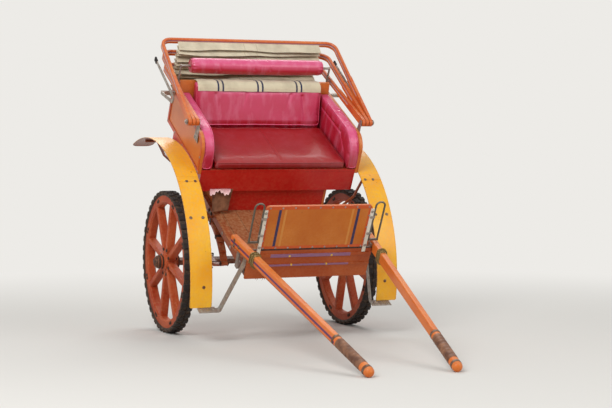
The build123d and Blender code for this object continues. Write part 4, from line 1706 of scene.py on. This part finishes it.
@dataclass
class BackCloth:
    """A striped cotton cloth laid over the back's top edge, under the bolster."""

    yard: Yard
    half: float = 0.47
    thick: float = 0.0022
    line: tuple[tuple[float, float], ...] = (
        (-0.008, -0.126), (-0.010, -0.066), (-0.007, -0.011), (0.002, 0.006), (0.022, 0.012),
        (0.045, 0.022), (0.075, 0.025), (0.100, 0.016), (0.116, -0.004), (0.124, -0.026),
    )

    def build(self) -> None:
        """Drape the cloth from behind the board over the cushion's top."""
        rear = back_x(BACK_TOP) - 0.022
        line = [(rear + x, BACK_TOP + z) for x, z in self.line]

        def place(u: float, v: float) -> Point:
            """A point of the cloth: u across the carriage, v from behind to the front.

            Args:
                u: Across, 0 to 1.
                v: Along, 0 to 1.

            Returns:
                The point.
            """
            spot = v * (len(line) - 1)
            index = min(int(spot), len(line) - 2)
            share = spot - index
            x = line[index][0] * (1 - share) + line[index + 1][0] * share
            z = line[index][1] * (1 - share) + line[index + 1][1] * share
            wave = math.sin(u * 31) * math.sin(u * 12 + 1) * 0.004
            behind = abs((1 - v) * wave * 1.4) if v < 0.35 else 0.0
            uneven = 0.012 * math.sin(u * 9 + 0.6) * max(0.0, 0.3 - v)
            return (x - behind, (u - 0.5) * 2 * self.half, z + abs(wave) * 0.6 + uneven)

        cloth = Bench.grid(120, 40, place)
        Bench.modify(cloth, "SOLIDIFY", thickness=self.thick, offset=0)
        item = self.yard.seat(cloth, "back_cloth", "hood_cloth", STRIPED_COTTON, angle=80)


@dataclass
class Hood:
    """The folded hood: pleated canvas between the bows, with the pins' washers and nuts."""

    yard: Yard
    pleats: int = 13
    outer: float = 0.857
    inner: float = 0.786
    thick: float = 0.0024
    nut_y: float = 0.694
    plate_y: float = 0.602
    plate_x: tuple[float, float] = (PIVOT_X - 0.038, PIVOT_X + 0.010)
    plate_z: float = 1.440

    def build(self) -> None:
        """Make the canvas and the pivot irons."""
        self.canvas()
        self.pivots()

    @staticmethod
    def round_pivot(radius: float, turn: float, y: float = 0.0) -> Point:
        """A point behind the pivot, turned up from the level."""
        return (PIVOT_X - radius * math.cos(turn), y, PIVOT_Z + radius * math.sin(turn))

    def canvas(self) -> None:
        """Pleat the canvas round the pivot, fanned from the hanging hem to the front bow."""
        start, end = -CLOTH_HANG, BOW_TURN

        def place(u: float, v: float) -> Point:
            """A point of the canvas, from the hanging hem to the front bow.

            Args:
                u: Across, 0 to 1.
                v: Along, 0 to 1.

            Returns:
                The point.
            """
            phase = (v + 0.012 * math.sin(math.pi * v) * math.sin(v * 19 + u * 1.5)) * self.pleats
            fold = abs((phase % 1) - 0.5) * 2
            fold = fold * fold * (3 - 2 * fold)
            depth = self.outer - self.inner + 0.014 * math.sin(int(phase) * 2.4 + u * 2.5)
            sag = math.sin(u * math.pi) * 0.008
            drift = math.sin(u * 23 + v * 9) * 0.0025 + math.sin(u * 7 + v * 31) * 0.003
            radius = self.outer - (depth + sag - drift) * (1 - fold)
            turn = start + (end - start) * v + math.sin(u * 11 + v * 17) * 0.006 * (1 - fold)
            return self.round_pivot(radius, turn, (u - 0.5) * 2 * CLOTH_HALF)

        canvas = Bench.grid(90, self.pleats * 14, place)
        Bench.modify(canvas, "SOLIDIFY", thickness=self.thick, offset=0)
        name, nodes = "hood_canvas_pleats", ["hood_canvas"]
        item = self.yard.seat(canvas, name, "hood_cloth", HOOD_CANVAS, nodes, 50, body=None)
        reach = (self.inner + self.outer) / 2
        hem, rail = (
            self.yard.stance.parked(self.round_pivot(reach, turn)) for turn in (start + 0.03, end - 0.02)
        )
        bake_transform(item)

    def pivots(self) -> None:
        """A nut on each end of the hood's pin, and the bolts of its plate."""
        outs = [Vector((0, side, 0)) for side in (1, -1)]
        nuts = [(Vector((PIVOT_X, self.nut_y * out.y, PIVOT_Z)), out) for out in outs]
        heads = bolts(nuts, 0.024, 0.010)
        plates = [
            (Vector((x, self.plate_y * out.y, self.plate_z)), out) for out in outs for x in self.plate_x
        ]
        irons = Bench.merge([heads, bolts(plates, 0.012, 0.004, True)])
        self.yard.seat(irons, "hood_pivot_bolts", "grey_steel", WEATHERED_STEEL)


@dataclass
class FenderTrim:
    """The fender's wired edge, its riveted seams and the bolts of its stays."""

    yard: Yard
    side: Side
    wire: float = 0.0032
    bolt: float = 0.013
    front_corner: float = 0.012
    rear_corner: float = 0.045
    seams: tuple[float, ...] = (0.100, -0.780)
    strap_half: float = 0.026
    rows: tuple[tuple[float, tuple[float, ...]], ...] = (
        (0.385, (0.033, 0.118)), (0.688, (0.060,)), (0.120, (0.030, 0.090)), (-0.830, (0.030, 0.090)),
        (-0.765, (0.024, 0.128)),
    )

    def point(self, angle: float, lift: float = 0.0) -> tuple[float, float, Vector]:
        """Where the sheet is at an angle from its top, forward positive, and its normal.

        Args:
            angle: The angle in radians.
            lift: How far above the sheet.

        Returns:
            Its X and Z and the normal.
        """
        radius = FENDER_FRONT_R if angle > 0 else FENDER_REAR_R
        normal = Vector((math.sin(angle), 0, math.cos(angle)))
        reach = radius + lift
        z = FENDER_TOP.z - radius + reach * math.cos(angle)
        return FENDER_TOP.x + reach * math.sin(angle), z, normal

    def angle_at(self, x: float) -> float:
        """The angle at which the sheet passes x."""
        radius = FENDER_FRONT_R if x > FENDER_TOP.x else FENDER_REAR_R
        return math.asin((x - FENDER_TOP.x) / radius)

    def outline(self) -> list[tuple[float, float]]:
        """The sheet's edge as (angle, y): each end with its two round corners, then a long side.

        Returns:
            The edge's points.
        """
        middle, half = FENDER_INNER + FENDER_WIDE / 2, FENDER_WIDE / 2 - self.wire
        quarter = [math.pi / 2 * step / 6 for step in range(7)]
        ends = (
            (-1, FENDER_REAR_SWEEP * FENDER_REAR_R, FENDER_REAR_R, self.rear_corner),
            (1, FENDER_FRONT_SWEEP * FENDER_FRONT_R, FENDER_FRONT_R, self.front_corner),
        )
        found = []
        for (sign, length, radius, corner), (_, far, far_radius, far_corner) in zip(ends, ends[::-1]):
            reach = length - self.wire - corner
            for across, turns in ((-sign, quarter), (sign, quarter[::-1])):
                for turn in turns:
                    y = middle + across * (half - corner + corner * math.cos(turn))
                    found.append((sign * (reach + corner * math.sin(turn)) / radius, y))
            start, end = sign * reach / radius, -sign * (far - self.wire - far_corner) / far_radius
            found += [(start + (end - start) * step / 46, middle + sign * half) for step in range(1, 46)]
        return found

    def build(self) -> None:
        """Wire the edge, rivet the seams and set the bolts."""
        path = []
        for angle, y in self.outline():
            x, z, _ = self.point(angle, -0.002)
            path.append((x, y, z))
        parts = [Bench.wire(path, self.wire, closed=True)]
        parts += [self.seam(self.angle_at(x)) for x in self.seams]
        word = self.side.word
        rim = mirrored(Bench.merge(parts), self.side)
        self.yard.seat(rim, f"fender_edge_{word}", "fender_paint", FENDER_PAINT)
        spots = []
        for x, steps in self.rows:
            for step in steps:
                across, up, normal = self.point(self.angle_at(x))
                spots.append((Vector((across, FENDER_INNER + step, up)), normal))
        heads = mirrored(bolts(spots, self.bolt, 0.004, True), self.side)
        self.yard.seat(heads, f"fender_bolts_{word}", "grey_steel", RUSTY_STEEL)

    def seam(self, angle: float) -> Item:
        """A strap of sheet over a joint of the fender.

        Args:
            angle: Where the joint is.

        Returns:
            The strap.
        """
        half, low, high = self.strap_half, FENDER_INNER + 0.004, FENDER_INNER + FENDER_WIDE - 0.004
        strap = Bench.block((-half, low, -0.001), (half, high, 0.0016))
        Bench.round_edges(strap, 0.0012, 2)
        x, z, _ = self.point(angle)
        strap.data.transform(Matrix.Translation((x, 0, z)) @ Matrix.Rotation(angle, 4, "Y"))
        return strap


@dataclass
class ShaftTrim:
    """A shaft's ferrules and leather wraps, its butt's bolts, and the rope lashing."""

    yard: Yard
    side: Side
    ferrule: float = 0.022
    ferrules: tuple[float, float] = (0.398, 0.030)
    butt_bolts: tuple[tuple[float, float], ...] = ((0.050, 0.018), (0.050, -0.018), (0.12, 0.0))
    wrap_back: float = 0.352
    wrap_turns: int = 8
    lap: float = 0.036
    rope_r: float = 0.0042

    @staticmethod
    def frame() -> tuple[Vector, Vector, Vector, float]:
        """The shaft's direction, its left, its up and its length.

        Returns:
            The four of them.
        """
        line = SHAFT_TO - SHAFT_FROM
        along = line.normalized()
        left = Vector((-along.y, along.x, 0)).normalized()
        return along, left, along.cross(left), line.length

    def build(self) -> None:
        """Dress one shaft."""
        along, left, up, length = self.frame()
        round_r, long = SHAFT_ROUND_R, self.ferrule
        inner, low, high = round_r - 0.001, round_r + 0.0015, round_r + 0.002
        ferrule = ((inner, 0), (low, 0), (high, 0.001), (high, long - 0.001), (low, long), (inner, long),
                   (inner, 0))
        parts = [
            Bench.turn(ferrule, SHAFT_FROM + along * (length - back), along, 40) for back in self.ferrules
        ]
        face = SHAFT_FROM + left * SHAFT_WIDE / 2
        spots = [(face + along * ahead + up * high, left) for ahead, high in self.butt_bolts]
        parts.append(bolts(spots, 0.016, 0.006, True))
        rows = (
            (Bench.merge(parts), "shaft_ferrules", "grey_steel", RUSTY_STEEL, (), 35),
            (self.wrap(along, length), "shaft_wrap", "brown_leather", BROWN_LEATHER, (), 60),
            (self.lashing(along, left, up), "lashing_rope", "rope", SISAL, ("lashing",), 60),
        )
        word = self.side.word
        for item, name, slot, finish, stands_for, angle in rows:
            names = [f"{node_name}_{word}" for node_name in stands_for]
            self.yard.seat(mirrored(item, self.side), f"{name}_{word}", slot, finish, names, angle)

    def wrap(self, along: Vector, length: float) -> Item:
        """Leather bound round the round end, each turn lapping the one before.

        Args:
            along: The shaft's direction.
            length: The shaft's length.

        Returns:
            The wrap.
        """
        ring, lap = SHAFT_ROUND_R, self.lap
        profile = [(ring - 0.001, 0.0)]
        for low in (number * lap for number in range(self.wrap_turns)):
            end = low + lap - 0.001
            profile += [(ring + 0.0008, low), (ring + 0.0022, low + 0.002), (ring + 0.0012, end)]
        profile += [(ring - 0.001, self.wrap_turns * lap), profile[0]]
        return Bench.turn(profile, SHAFT_FROM + along * (length - self.wrap_back), along, 40)

    def lashing(self, along: Vector, left: Vector, up: Vector) -> Item:
        """Rope wound tight about the shaft, and one cord laid over the turns.

        Args:
            along: The shaft's direction.
            left: The shaft's left.
            up: The shaft's up.

        Returns:
            The rope.
        """
        thick = self.rope_r
        quarter = [(1, -0.55), (1, 0.55), (0.72, 0.9), (0.3, 1.02), (-0.3, 1.02), (-0.72, 0.9)]
        loop = [*quarter, *((-across, -high) for across, high in quarter)]
        start = SHAFT_FROM + along * (LASHING_FROM + thick)

        def wind(turns: int, lead: float, pitch: float, out: float) -> list[Vector]:
            """Points round the shaft: how many turns, from where, how far apart and how far out.

            Args:
                turns: How many turns.
                lead: Where they start.
                pitch: How far apart they are.
                out: How many rope radii off the shaft.

            Returns:
                The points.
            """
            wide, tall = SHAFT_WIDE / 2 + out * thick, SHAFT_TALL / 2 + out * thick
            found = []
            for number in range(turns * len(loop) + 1):
                across, high = loop[number % len(loop)]
                go = lead + number / len(loop) * pitch
                found.append(start + along * go + left * across * wide + up * high * tall)
            return found

        turns = int(LASHING_LONG / (2 * thick)) - 1
        rope = Bench.wire(wind(turns, 0.0, 2 * thick, 0.7), thick, sides=2)
        cord = Bench.wire(wind(2, 0.010, (LASHING_LONG - 0.026) / 2, 2.7), thick * 0.8, sides=2)
        return Bench.merge([rope, cord])


@dataclass
class StepTread:
    """The step's chequered foot plate, bolted to its iron."""

    yard: Yard
    side: Side
    low: Point = (0.726, 0.580, 0.599)
    high: Point = (0.794, 0.703, 0.6035)
    bar: Point = (0.027, 0.003, 0.0035)
    bars: int = 8
    first_bar: float = 0.592
    pitch: float = 0.0145
    bolt_y: tuple[float, float] = (0.5995, 0.6865)

    def build(self) -> None:
        """Make the plate with its raised bars."""
        middle, top = (self.low[0] + self.high[0]) / 2, self.high[2]
        parts = [Bench.round_edges(Bench.block(self.low, self.high), 0.0015)]
        bar = Bench.block((-self.bar[0], -self.bar[1], 0), self.bar)
        Bench.select_faces(bar, lambda normal: normal.z > 0.9)
        bpy.ops.transform.resize(value=(0.92, 0.4, 1))
        Bench.clear()
        across = [self.first_bar + self.pitch * number for number in range(self.bars)]
        parts += Bench.repeat(bar, [Matrix.Translation((middle, y, top - 0.0002)) for y in across])
        heads = [(Vector((middle, y, top)), Vector((0, 0, 1))) for y in self.bolt_y]
        parts.append(bolts(heads, 0.014, 0.005, True))
        tread = mirrored(Bench.merge(parts), self.side)
        self.yard.seat(tread, f"step_tread_{self.side.word}", "grey_steel", WEATHERED_STEEL)


@dataclass
class SeatLeather:
    """The leather flap before the seat box and the torn lip of the box's vinyl."""

    yard: Yard
    flap_top: float = SEAT_LOW + 0.018
    flap_low: float = 0.952
    flap_y: float = -0.4715
    flap_wide: float = 0.1495
    flap_thick: float = 0.0035
    lip_top: float = SEAT_LOW + 0.022
    lip_y: float = -0.492
    lip_wide: float = 0.150
    lip_deep: float = 0.042
    lip_thick: float = 0.0016

    def build(self) -> None:
        """Hang the flap and the torn strip."""
        self.flap()
        self.lip()

    def flap(self) -> None:
        """A stiff flap that hangs from the seat box's edge and curls forward."""

        def place(u: float, v: float) -> Point:
            """A point of the flap: u across, v from its top to its foot.

            Args:
                u: Across, 0 to 1.
                v: Along, 0 to 1.

            Returns:
                The point.
            """
            z = self.flap_top + (self.flap_low - self.flap_top) * v
            curl = 0.004 + 0.020 * v * v + 0.006 * math.sin(u * 5 + 1) * v
            wide = 0.5 + (u - 0.5) * (1 - 0.22 * v)
            return (SEAT_FRONT + curl, self.flap_y + self.flap_wide * wide, z)

        flap = Bench.grid(16, 20, place)
        Bench.modify(flap, "SOLIDIFY", thickness=self.flap_thick, offset=0)
        Bench.round_edges(flap, 0.0008, 1)
        item = self.yard.seat(flap, "foot_flap_leather", "brown_leather", BROWN_LEATHER, ["foot_flap"], 60)

    def lip(self) -> None:
        """A strip of vinyl torn loose along the seat box's lower edge."""

        def place(u: float, v: float) -> Point:
            """A point of the strip: u across, v from its nailed edge down.

            Args:
                u: Across, 0 to 1.
                v: Along, 0 to 1.

            Returns:
                The point.
            """
            tear = 0.62 + 0.30 * math.sin(u * 9 + 0.8) + 0.14 * math.sin(u * 37)
            curl = 0.0085 + 0.020 * v * v * tear
            z = self.lip_top - self.lip_deep * v * tear
            return (SEAT_FRONT + curl, self.lip_y + self.lip_wide * u, z)

        strip = Bench.grid(40, 10, place)
        Bench.modify(strip, "SOLIDIFY", thickness=self.lip_thick, offset=0)
        item = self.yard.seat(strip, "seat_lip", "pink_vinyl", WORN_VINYL, angle=60)


# Finishes of this gig


def shaft_stripes() -> tuple[Stripe, ...]:
    """The navy line edged red along each shaft's outer face, and painted shade along its lower bevel.

    Returns:
        The stripes.
    """
    along, left, up, _ = ShaftTrim.frame()
    middle, side, start = up.dot(SHAFT_FROM), left.dot(SHAFT_FROM), along.dot(SHAFT_FROM)
    outer = Band(tuple(left), side + 0.012, side + 0.1)
    square = Band(tuple(along), start - 1, start + 1.46)
    # The last line is painted shade: the lower bevel darkened as on the shadow side.
    lines = ((-0.0105, 0.0105, "#C83246"), (-0.0065, 0.0065, "#3A2E58"), (-0.06, -0.024, "#A8481C"))
    return tuple(
        Stripe(colour, (outer, square, Band(tuple(up), middle + low, middle + high)))
        for low, high, colour in lines
    )


def bow_stripes() -> tuple[Stripe, ...]:
    """A lavender line and a white one along each bow's arms, over the middle of its depth.

    Returns:
        The stripes.
    """
    found = []
    for turn in BOW_TURNS:
        across = (math.sin(turn), 0.0, math.cos(turn))
        middle = across[0] * PIVOT_X + across[2] * PIVOT_Z
        behind = Band((1, 0, 0), -1.2, PIVOT_X - 0.275)
        for low, high, colour in ((0.0045, 0.0095, "#8E78A4"), (-0.0005, 0.0025, "#E6DECB")):
            found.append(Stripe(colour, (Band(across, middle + low, middle + high), behind)))
    return tuple(found)


FORWARD, LEFTWARD, UPWARD = (1, 0, 0), (0, 1, 0), (0, 0, 1)
DASH_FACE = Band(FORWARD, 0.790, 0.812)
DASH_FIELD = Band(UPWARD, 1.116, 1.394)
# The dash: a red-brown frame, a navy and an ochre upright each side, and painted shadow in the joint below.
DASH_STRIPES = (
    Stripe("#C8521C", (DASH_FACE, Band(UPWARD, 1.0, 1.118))),
    Stripe("#C8521C", (DASH_FACE, Band(UPWARD, 1.394, 1.5))),
    Stripe("#C8521C", (DASH_FACE, Band(LEFTWARD, 0.350, 0.5))),
    Stripe("#2E2B52", (DASH_FACE, Band(LEFTWARD, 0.269, 0.288), DASH_FIELD)),
    Stripe("#CC8438", (DASH_FACE, Band(LEFTWARD, 0.231, 0.246), DASH_FIELD)),
    # Painted shadow in the joint above the lower panel.
    Stripe("#2A1712", (DASH_FACE, Band(UPWARD, 1.086, 1.097))),
)
# The panel below it: the joint's shadow, a mauve moulding and two yellow dots each side.
LOWER_STRIPES = (
    Stripe("#2A1712", (DASH_FACE, Band(UPWARD, 1.084, 1.1))),
    Stripe("#8C5F7E", (Band(FORWARD, 0.8045, 0.83), Band(LEFTWARD, -1, 0.287))),
    Stripe("#E8C23A", (DASH_FACE, Band(LEFTWARD, 0.145, 0.157), Band(UPWARD, 1.034, 1.046))),
    Stripe("#E8C23A", (DASH_FACE, Band(LEFTWARD, 0.121, 0.132), Band(UPWARD, 0.966, 0.977))),
)
# Grease darkens each hub's outer end, and dirt the joints between the floor boards.
HUB_GREASE = (Stripe("#4A3026", (Band(LEFTWARD, HALF_TRACK + 0.066, 1.0),)),)
FLOOR_JOINTS = tuple(
    Stripe("#2E1A10", (Band(LEFTWARD, step * 0.105 + 0.051, step * 0.105 + 0.054),)) for step in range(4)
)
SIDE_FRAME = Stripe("#BE4218", (Band(LEFTWARD, SIDE_OUTER - 0.0015, 0.7),))

# Moulded rubber: dull and near black, with pale dust where it doesn't rub.
TYRE_RUBBER = Rubber("tyre_rubber_crossply", ground=Ground.WHEEL)
# The rests' rubber sleeves: black, with a grey bloom.
PAD_RUBBER = Rubber("rest_pad_rubber", coat="#241F1E", dust="#6A5644")
# Turned and planed wood under old oil paint: matt, chipped pale at every edge.
WHEEL_PAINT = OilPaint(
    "wheel_oil_paint", "#A03414", "#C05A2E", "#D68A66", dust="#B98A62",
    grain=(1, 1, 1), roughness=0.55, gloss=0.0, specular=0.22, chips=0.8, dusty=0.4, stripes=HUB_GREASE,
    ground=Ground.WHEEL,
)
# Forged iron left bare: nearly black brown, more rust than metal.
AXLE_IRON = Iron("axle_forged_iron", "#4A4038", "#5A2C18", rusty=0.8, roughness=0.5)
# Drawn steel that hands polish: a dark sheen.
DARK_STEEL = Iron("handled_dark_steel", "#6E6A60", "#5A4030", rusty=0.4, roughness=0.38)
# Drawn steel in the weather: light grey, with tan rust blooms.
WEATHERED_STEEL = Iron("weathered_steel", "#A8A29A", "#7A5238", rusty=0.45, roughness=0.42)
# Sheet and bolts low down: mostly rust.
RUSTY_STEEL = Iron("rusty_steel", "#7C6E60", "#6A3A20", rusty=0.85, roughness=0.5)
# Oil paint on forged iron: dark brown and dusty.
AXLE_PAINT = OilPaint("axle_oil_paint", "#5F2814", "#7A3A20", "#3A2A20", chips=0.6, dusty=0.6)
# Oil paint on leaf springs: rust red, worn off where the leaves rub.
SPRING_PAINT = OilPaint("spring_oil_paint", "#9C3E18", "#B6582A", "#4A2A1A", chips=0.8, dusty=0.5)
# Painted ash sills: brown red, the wood showing at edges.
FRAME_WOOD = OilPaint("frame_painted_ash", "#8A3A18", "#A4552C", "#5E3C24", chips=0.7, dusty=0.5)
# Floor boards that feet have scoured: matt, with dark joints.
FLOOR_BOARDS = OilPaint(
    "floor_worn_boards", "#8A4424", "#9A5C34", "#7A4A2C", roughness=0.7, gloss=0.0, chips=0.3,
    dusty=0.36, stripes=FLOOR_JOINTS,
)
# Broken softwood: raw, tan and quite dull.
BARE_WOOD = OilPaint("splintered_bare_wood", "#8E4A24", "#B27A4A", "#5A3018", roughness=0.8, gloss=0.0)
# Brushed orange enamel on boards: a soft gloss.
ORANGE_BOARD = OilPaint("orange_painted_board", "#C4601E", "#D67C3A", "#7A4422")
# The side panels' orange field within its red-brown border: glossier than the rest.
SIDE_BOARD = OilPaint(
    "side_panel_paint", "#C4601E", "#D67C3A", "#7A4422", roughness=0.36, gloss=0.15,
    stripes=(SIDE_FRAME,),
)
# The same border's colour on its bead.
SIDE_BORDER = OilPaint("side_border_paint", "#A8380F", "#B8502A", "#5A2A14")
# The dash's ochre orange, striped.
DASH_PAINT = OilPaint("dash_oil_paint", "#BC6214", "#CE7C2E", "#7A4422", stripes=DASH_STRIPES)
# The panel below the dash: a deeper brown orange.
LOWER_PAINT = OilPaint(
    "lower_panel_paint", "#A0400C", "#B45620", "#5E3018", dusty=0.25, stripes=LOWER_STRIPES
)
# The seat box's bright red enamel: the glossiest paint here.
RED_PAINT = OilPaint(
    "seat_box_red_enamel", "#B8120E", "#C42A22", "#6A2018", roughness=0.32, gloss=0.2, chips=0.6,
)
# The bows' orange, with two fine lines along it.
HOOD_PAINT = OilPaint("hood_bow_paint", "#C8521A", "#DC7A34", "#7A4422", stripes=bow_stripes())
# Enamelled sheet: a warm yellow, shining where the sheet turns to the light.
FENDER_PAINT = FenderEnamel(
    "fender_enamel", "#EFA20E", "#F6BE26", "#8A4A20", roughness=0.34, gloss=0.2, chips=0.7
)
# The shafts' orange, with its navy and red line and painted shade along the lower bevel.
SHAFT_PAINT = OilPaint("shaft_oil_paint", "#D06620", "#E07E34", "#8A4A20", stripes=shaft_stripes())
# White lead paint on the dash's posts: chalky, grey where it is gone.
POST_PAINT = OilPaint("post_white_lead_paint", "#DCD6C6", "#E8E2D4", "#8A8078", chips=0.7)
# Pressed vinyl: crimson where it faces down and in the folds, pink on top, from sun fading together with
# painted light and shade.
PINK_VINYL = LeatherCloth("pink_leathercloth", "#B01024", "#D8507E")
# The same vinyl torn and turned out: pale all over.
WORN_VINYL = LeatherCloth("torn_leathercloth", "#D8849A", "#E8C0BC", bleach_from=-1.0)
# The seat's vinyl: a deep red, which lightens less where it faces up.
DARK_VINYL = LeatherCloth("dark_red_leathercloth", "#8E0A0E", "#A01216", bleach_to=1.6, scuffed=0.06)
# Handwoven cotton: cream, with navy stripes every 300 mm or so.
STRIPED_COTTON = Cloth("striped_cotton")
# Cotton duck: a pale stone colour, without shine.
HOOD_CANVAS = Cloth("hood_cotton_duck", coat="#DCD2B8", stripe="#B4A88A", period=0.4, stripe_wide=0.004)
# Oak-tanned leather gone dry: brown, cracked and dull.
BROWN_LEATHER = Hide("brown_harness_leather")
# Laid sisal: straw strands with painted shade, brown, between them.
SISAL = Twine("sisal_rope")

NODE_FINISHES: tuple[tuple[str, Finish], ...] = (
    ("wheel_", WHEEL_PAINT), ("tyre_", TYRE_RUBBER), ("axle", AXLE_PAINT), ("spring_", SPRING_PAINT),
    ("sill_", FRAME_WOOD), ("floor", FLOOR_BOARDS), ("front_panel", LOWER_PAINT), ("dash_panel", DASH_PAINT),
    ("dash_post_", POST_PAINT), ("riser_front", RED_PAINT), ("riser_", ORANGE_BOARD), ("seat_", RED_PAINT),
    ("side_panel_", SIDE_BOARD), ("back_board", ORANGE_BOARD), ("back_cushion", PINK_VINYL),
    ("arm_pad_", PINK_VINYL), ("bolster_iron_", WEATHERED_STEEL), ("bolster", PINK_VINYL),
    ("hood_pivot_", WEATHERED_STEEL), ("hood_bow_", HOOD_PAINT), ("hood_rest_", WEATHERED_STEEL),
    ("hood_canvas", HOOD_CANVAS), ("fender_", FENDER_PAINT), ("shaft_iron_", WEATHERED_STEEL),
    ("shaft_", SHAFT_PAINT), ("lashing_", SISAL), ("grab_handle_", DARK_STEEL),
    ("step_iron_", WEATHERED_STEEL), ("foot_flap", BROWN_LEATHER),
)


def dress_nodes(yard: Yard) -> None:
    """Give every CAD node its finish.

    Args:
        yard: The frame's nodes and stance.
    """
    for name, item in yard.nodes.items():
        finish = next(found for start, found in NODE_FINISHES if name.startswith(start))
        material = finish.dress(yard.stance)
        if not item.data.materials:
            item.data.materials.append(material)
        for index in range(len(item.data.materials)):
            item.data.materials[index] = material


@dataclass
class Studio:
    """A plain pale floor and backdrop, soft lamps, and a camera at the photograph's angle."""

    camera_at: Point = (9.60, -4.00, 1.32)
    aim: Point = (0.02, -0.03, 0.93)
    lens: float = 92.0
    pale: str = "#EDEBE7"
    floor: str = "#DAD8D3"
    floor_near: float = 2.2
    floor_far: float = 6.5
    fill: float = 0.40
    lamps: tuple[tuple[Point, float, float], ...] = (
        ((4.5, -5.0, 6.0), 4.0, 440), ((6.0, 4.5, 4.5), 4.0, 170), ((-5.0, 1.5, 5.5), 4.0, 200),
    )

    def build(self) -> None:
        """Lay the floor, set the world, the lamps and the camera."""
        Bench.clear()
        bpy.ops.mesh.primitive_plane_add(size=60)
        floor = bpy.context.object
        floor.name = "studio_floor"
        floor.data.materials.append(self.floor_material())
        floor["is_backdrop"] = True
        self.world()
        for at, size, power in self.lamps:
            self.lamp(Vector(at), size, power)
        camera = bpy.data.cameras.new("camera")
        camera.lens = self.lens
        camera.sensor_width = 36
        item = Bench.add("camera", camera)
        item.location = self.camera_at
        look = Vector(self.aim) - Vector(self.camera_at)
        item.rotation_euler = look.to_track_quat("-Z", "Y").to_euler()
        bpy.context.scene.camera = item
        bpy.context.scene.view_settings.view_transform = "Standard"

    def floor_material(self) -> bpy.types.Material:
        """A matt floor that keeps the shadow, and is shown pale by reflection too.

        Returns:
            The material.
        """
        material = bpy.data.materials.new("studio_floor")
        on = Shader.begin(material)
        matt = on.node("BsdfDiffuse", {"Color": self.floor})
        shown = on.node("Background", {"Color": self.pale, "Strength": 1.0})
        place = on.node("TexCoord", out="Object")
        away = on.node("VectorMath", (place,), "Value", operation="LENGTH")
        far = on.node("MapRange", {
            "Value": away, "From Min": self.floor_near, "From Max": self.floor_far,
        }, interpolation_type="SMOOTHSTEP")
        share = on.node("Math", (far, self.seen(on)), operation="MULTIPLY")
        both = on.node("MixShader", (share, matt, shown))
        on.node("OutputMaterial", {"Surface": both})
        return material

    @staticmethod
    def seen(on: Shader) -> Socket:
        """One for what the camera, gloss and glass see; none for the light that falls on the gig.

        Args:
            on: The shader.

        Returns:
            The share's socket.
        """
        rays = on.node("LightPath").node.outputs
        seen = on.node("Math", (rays["Is Camera Ray"], rays["Is Glossy Ray"]), operation="MAXIMUM")
        return on.node("Math", (seen, rays["Is Transmission Ray"]), operation="MAXIMUM")

    def world(self) -> None:
        """A pale world; what the camera, gloss and glass see of it is near white."""
        world = bpy.data.worlds.new("studio")
        bpy.context.scene.world = world
        on = Shader.begin(world)
        fill = on.node("Background", {"Color": "#FFFFFF", "Strength": self.fill})
        shown = on.node("Background", {"Color": self.pale, "Strength": 1.0})
        both = on.node("MixShader", (self.seen(on), fill, shown))
        on.node("OutputWorld", {"Surface": both})

    @staticmethod
    def lamp(at: Vector, size: float, power: float) -> None:
        """A square soft lamp that faces the gig.

        Args:
            at: Where it hangs.
            size: Its side.
            power: Its watts.
        """
        lamp = bpy.data.lights.new("soft_lamp", "AREA")
        lamp.size = size
        lamp.energy = power
        item = Bench.add("soft_lamp", lamp)
        item.location = at
        item.rotation_euler = (Vector((0, 0, 0.8)) - at).to_track_quat("-Z", "Y").to_euler()


def corners() -> list[list[float]]:
    """The model's box as plain lists."""
    low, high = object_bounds()
    return [[float(v) for v in low], [float(v) for v in high]]


def main() -> None:
    """Build every sub-assembly in order."""
    logging.basicConfig(level=logging.INFO, format="%(relativeCreated)6d ms  %(message)s")
    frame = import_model()
    yard = Yard(frame["nodes"], Stance.read(frame["joints"]))
    LOG.info("leans %.3f degrees, axle at %.4f", math.degrees(yard.stance.lean), yard.stance.axle_x)
    dress_nodes(yard)
    paired = (Tyre, WheelIrons, SpringIrons, SidePanelTrim, FenderTrim, ShaftTrim, StepTread, RestPads)
    for side in Side:
        for kind in paired:
            kind(yard, side).build()
    for kind in (FrameBolts, DashFittings, SplinteredFoot, Upholstery, BackCloth, Hood, SeatLeather):
        kind(yard).build()
    Studio().build()


if __name__ == "__main__":
    main()
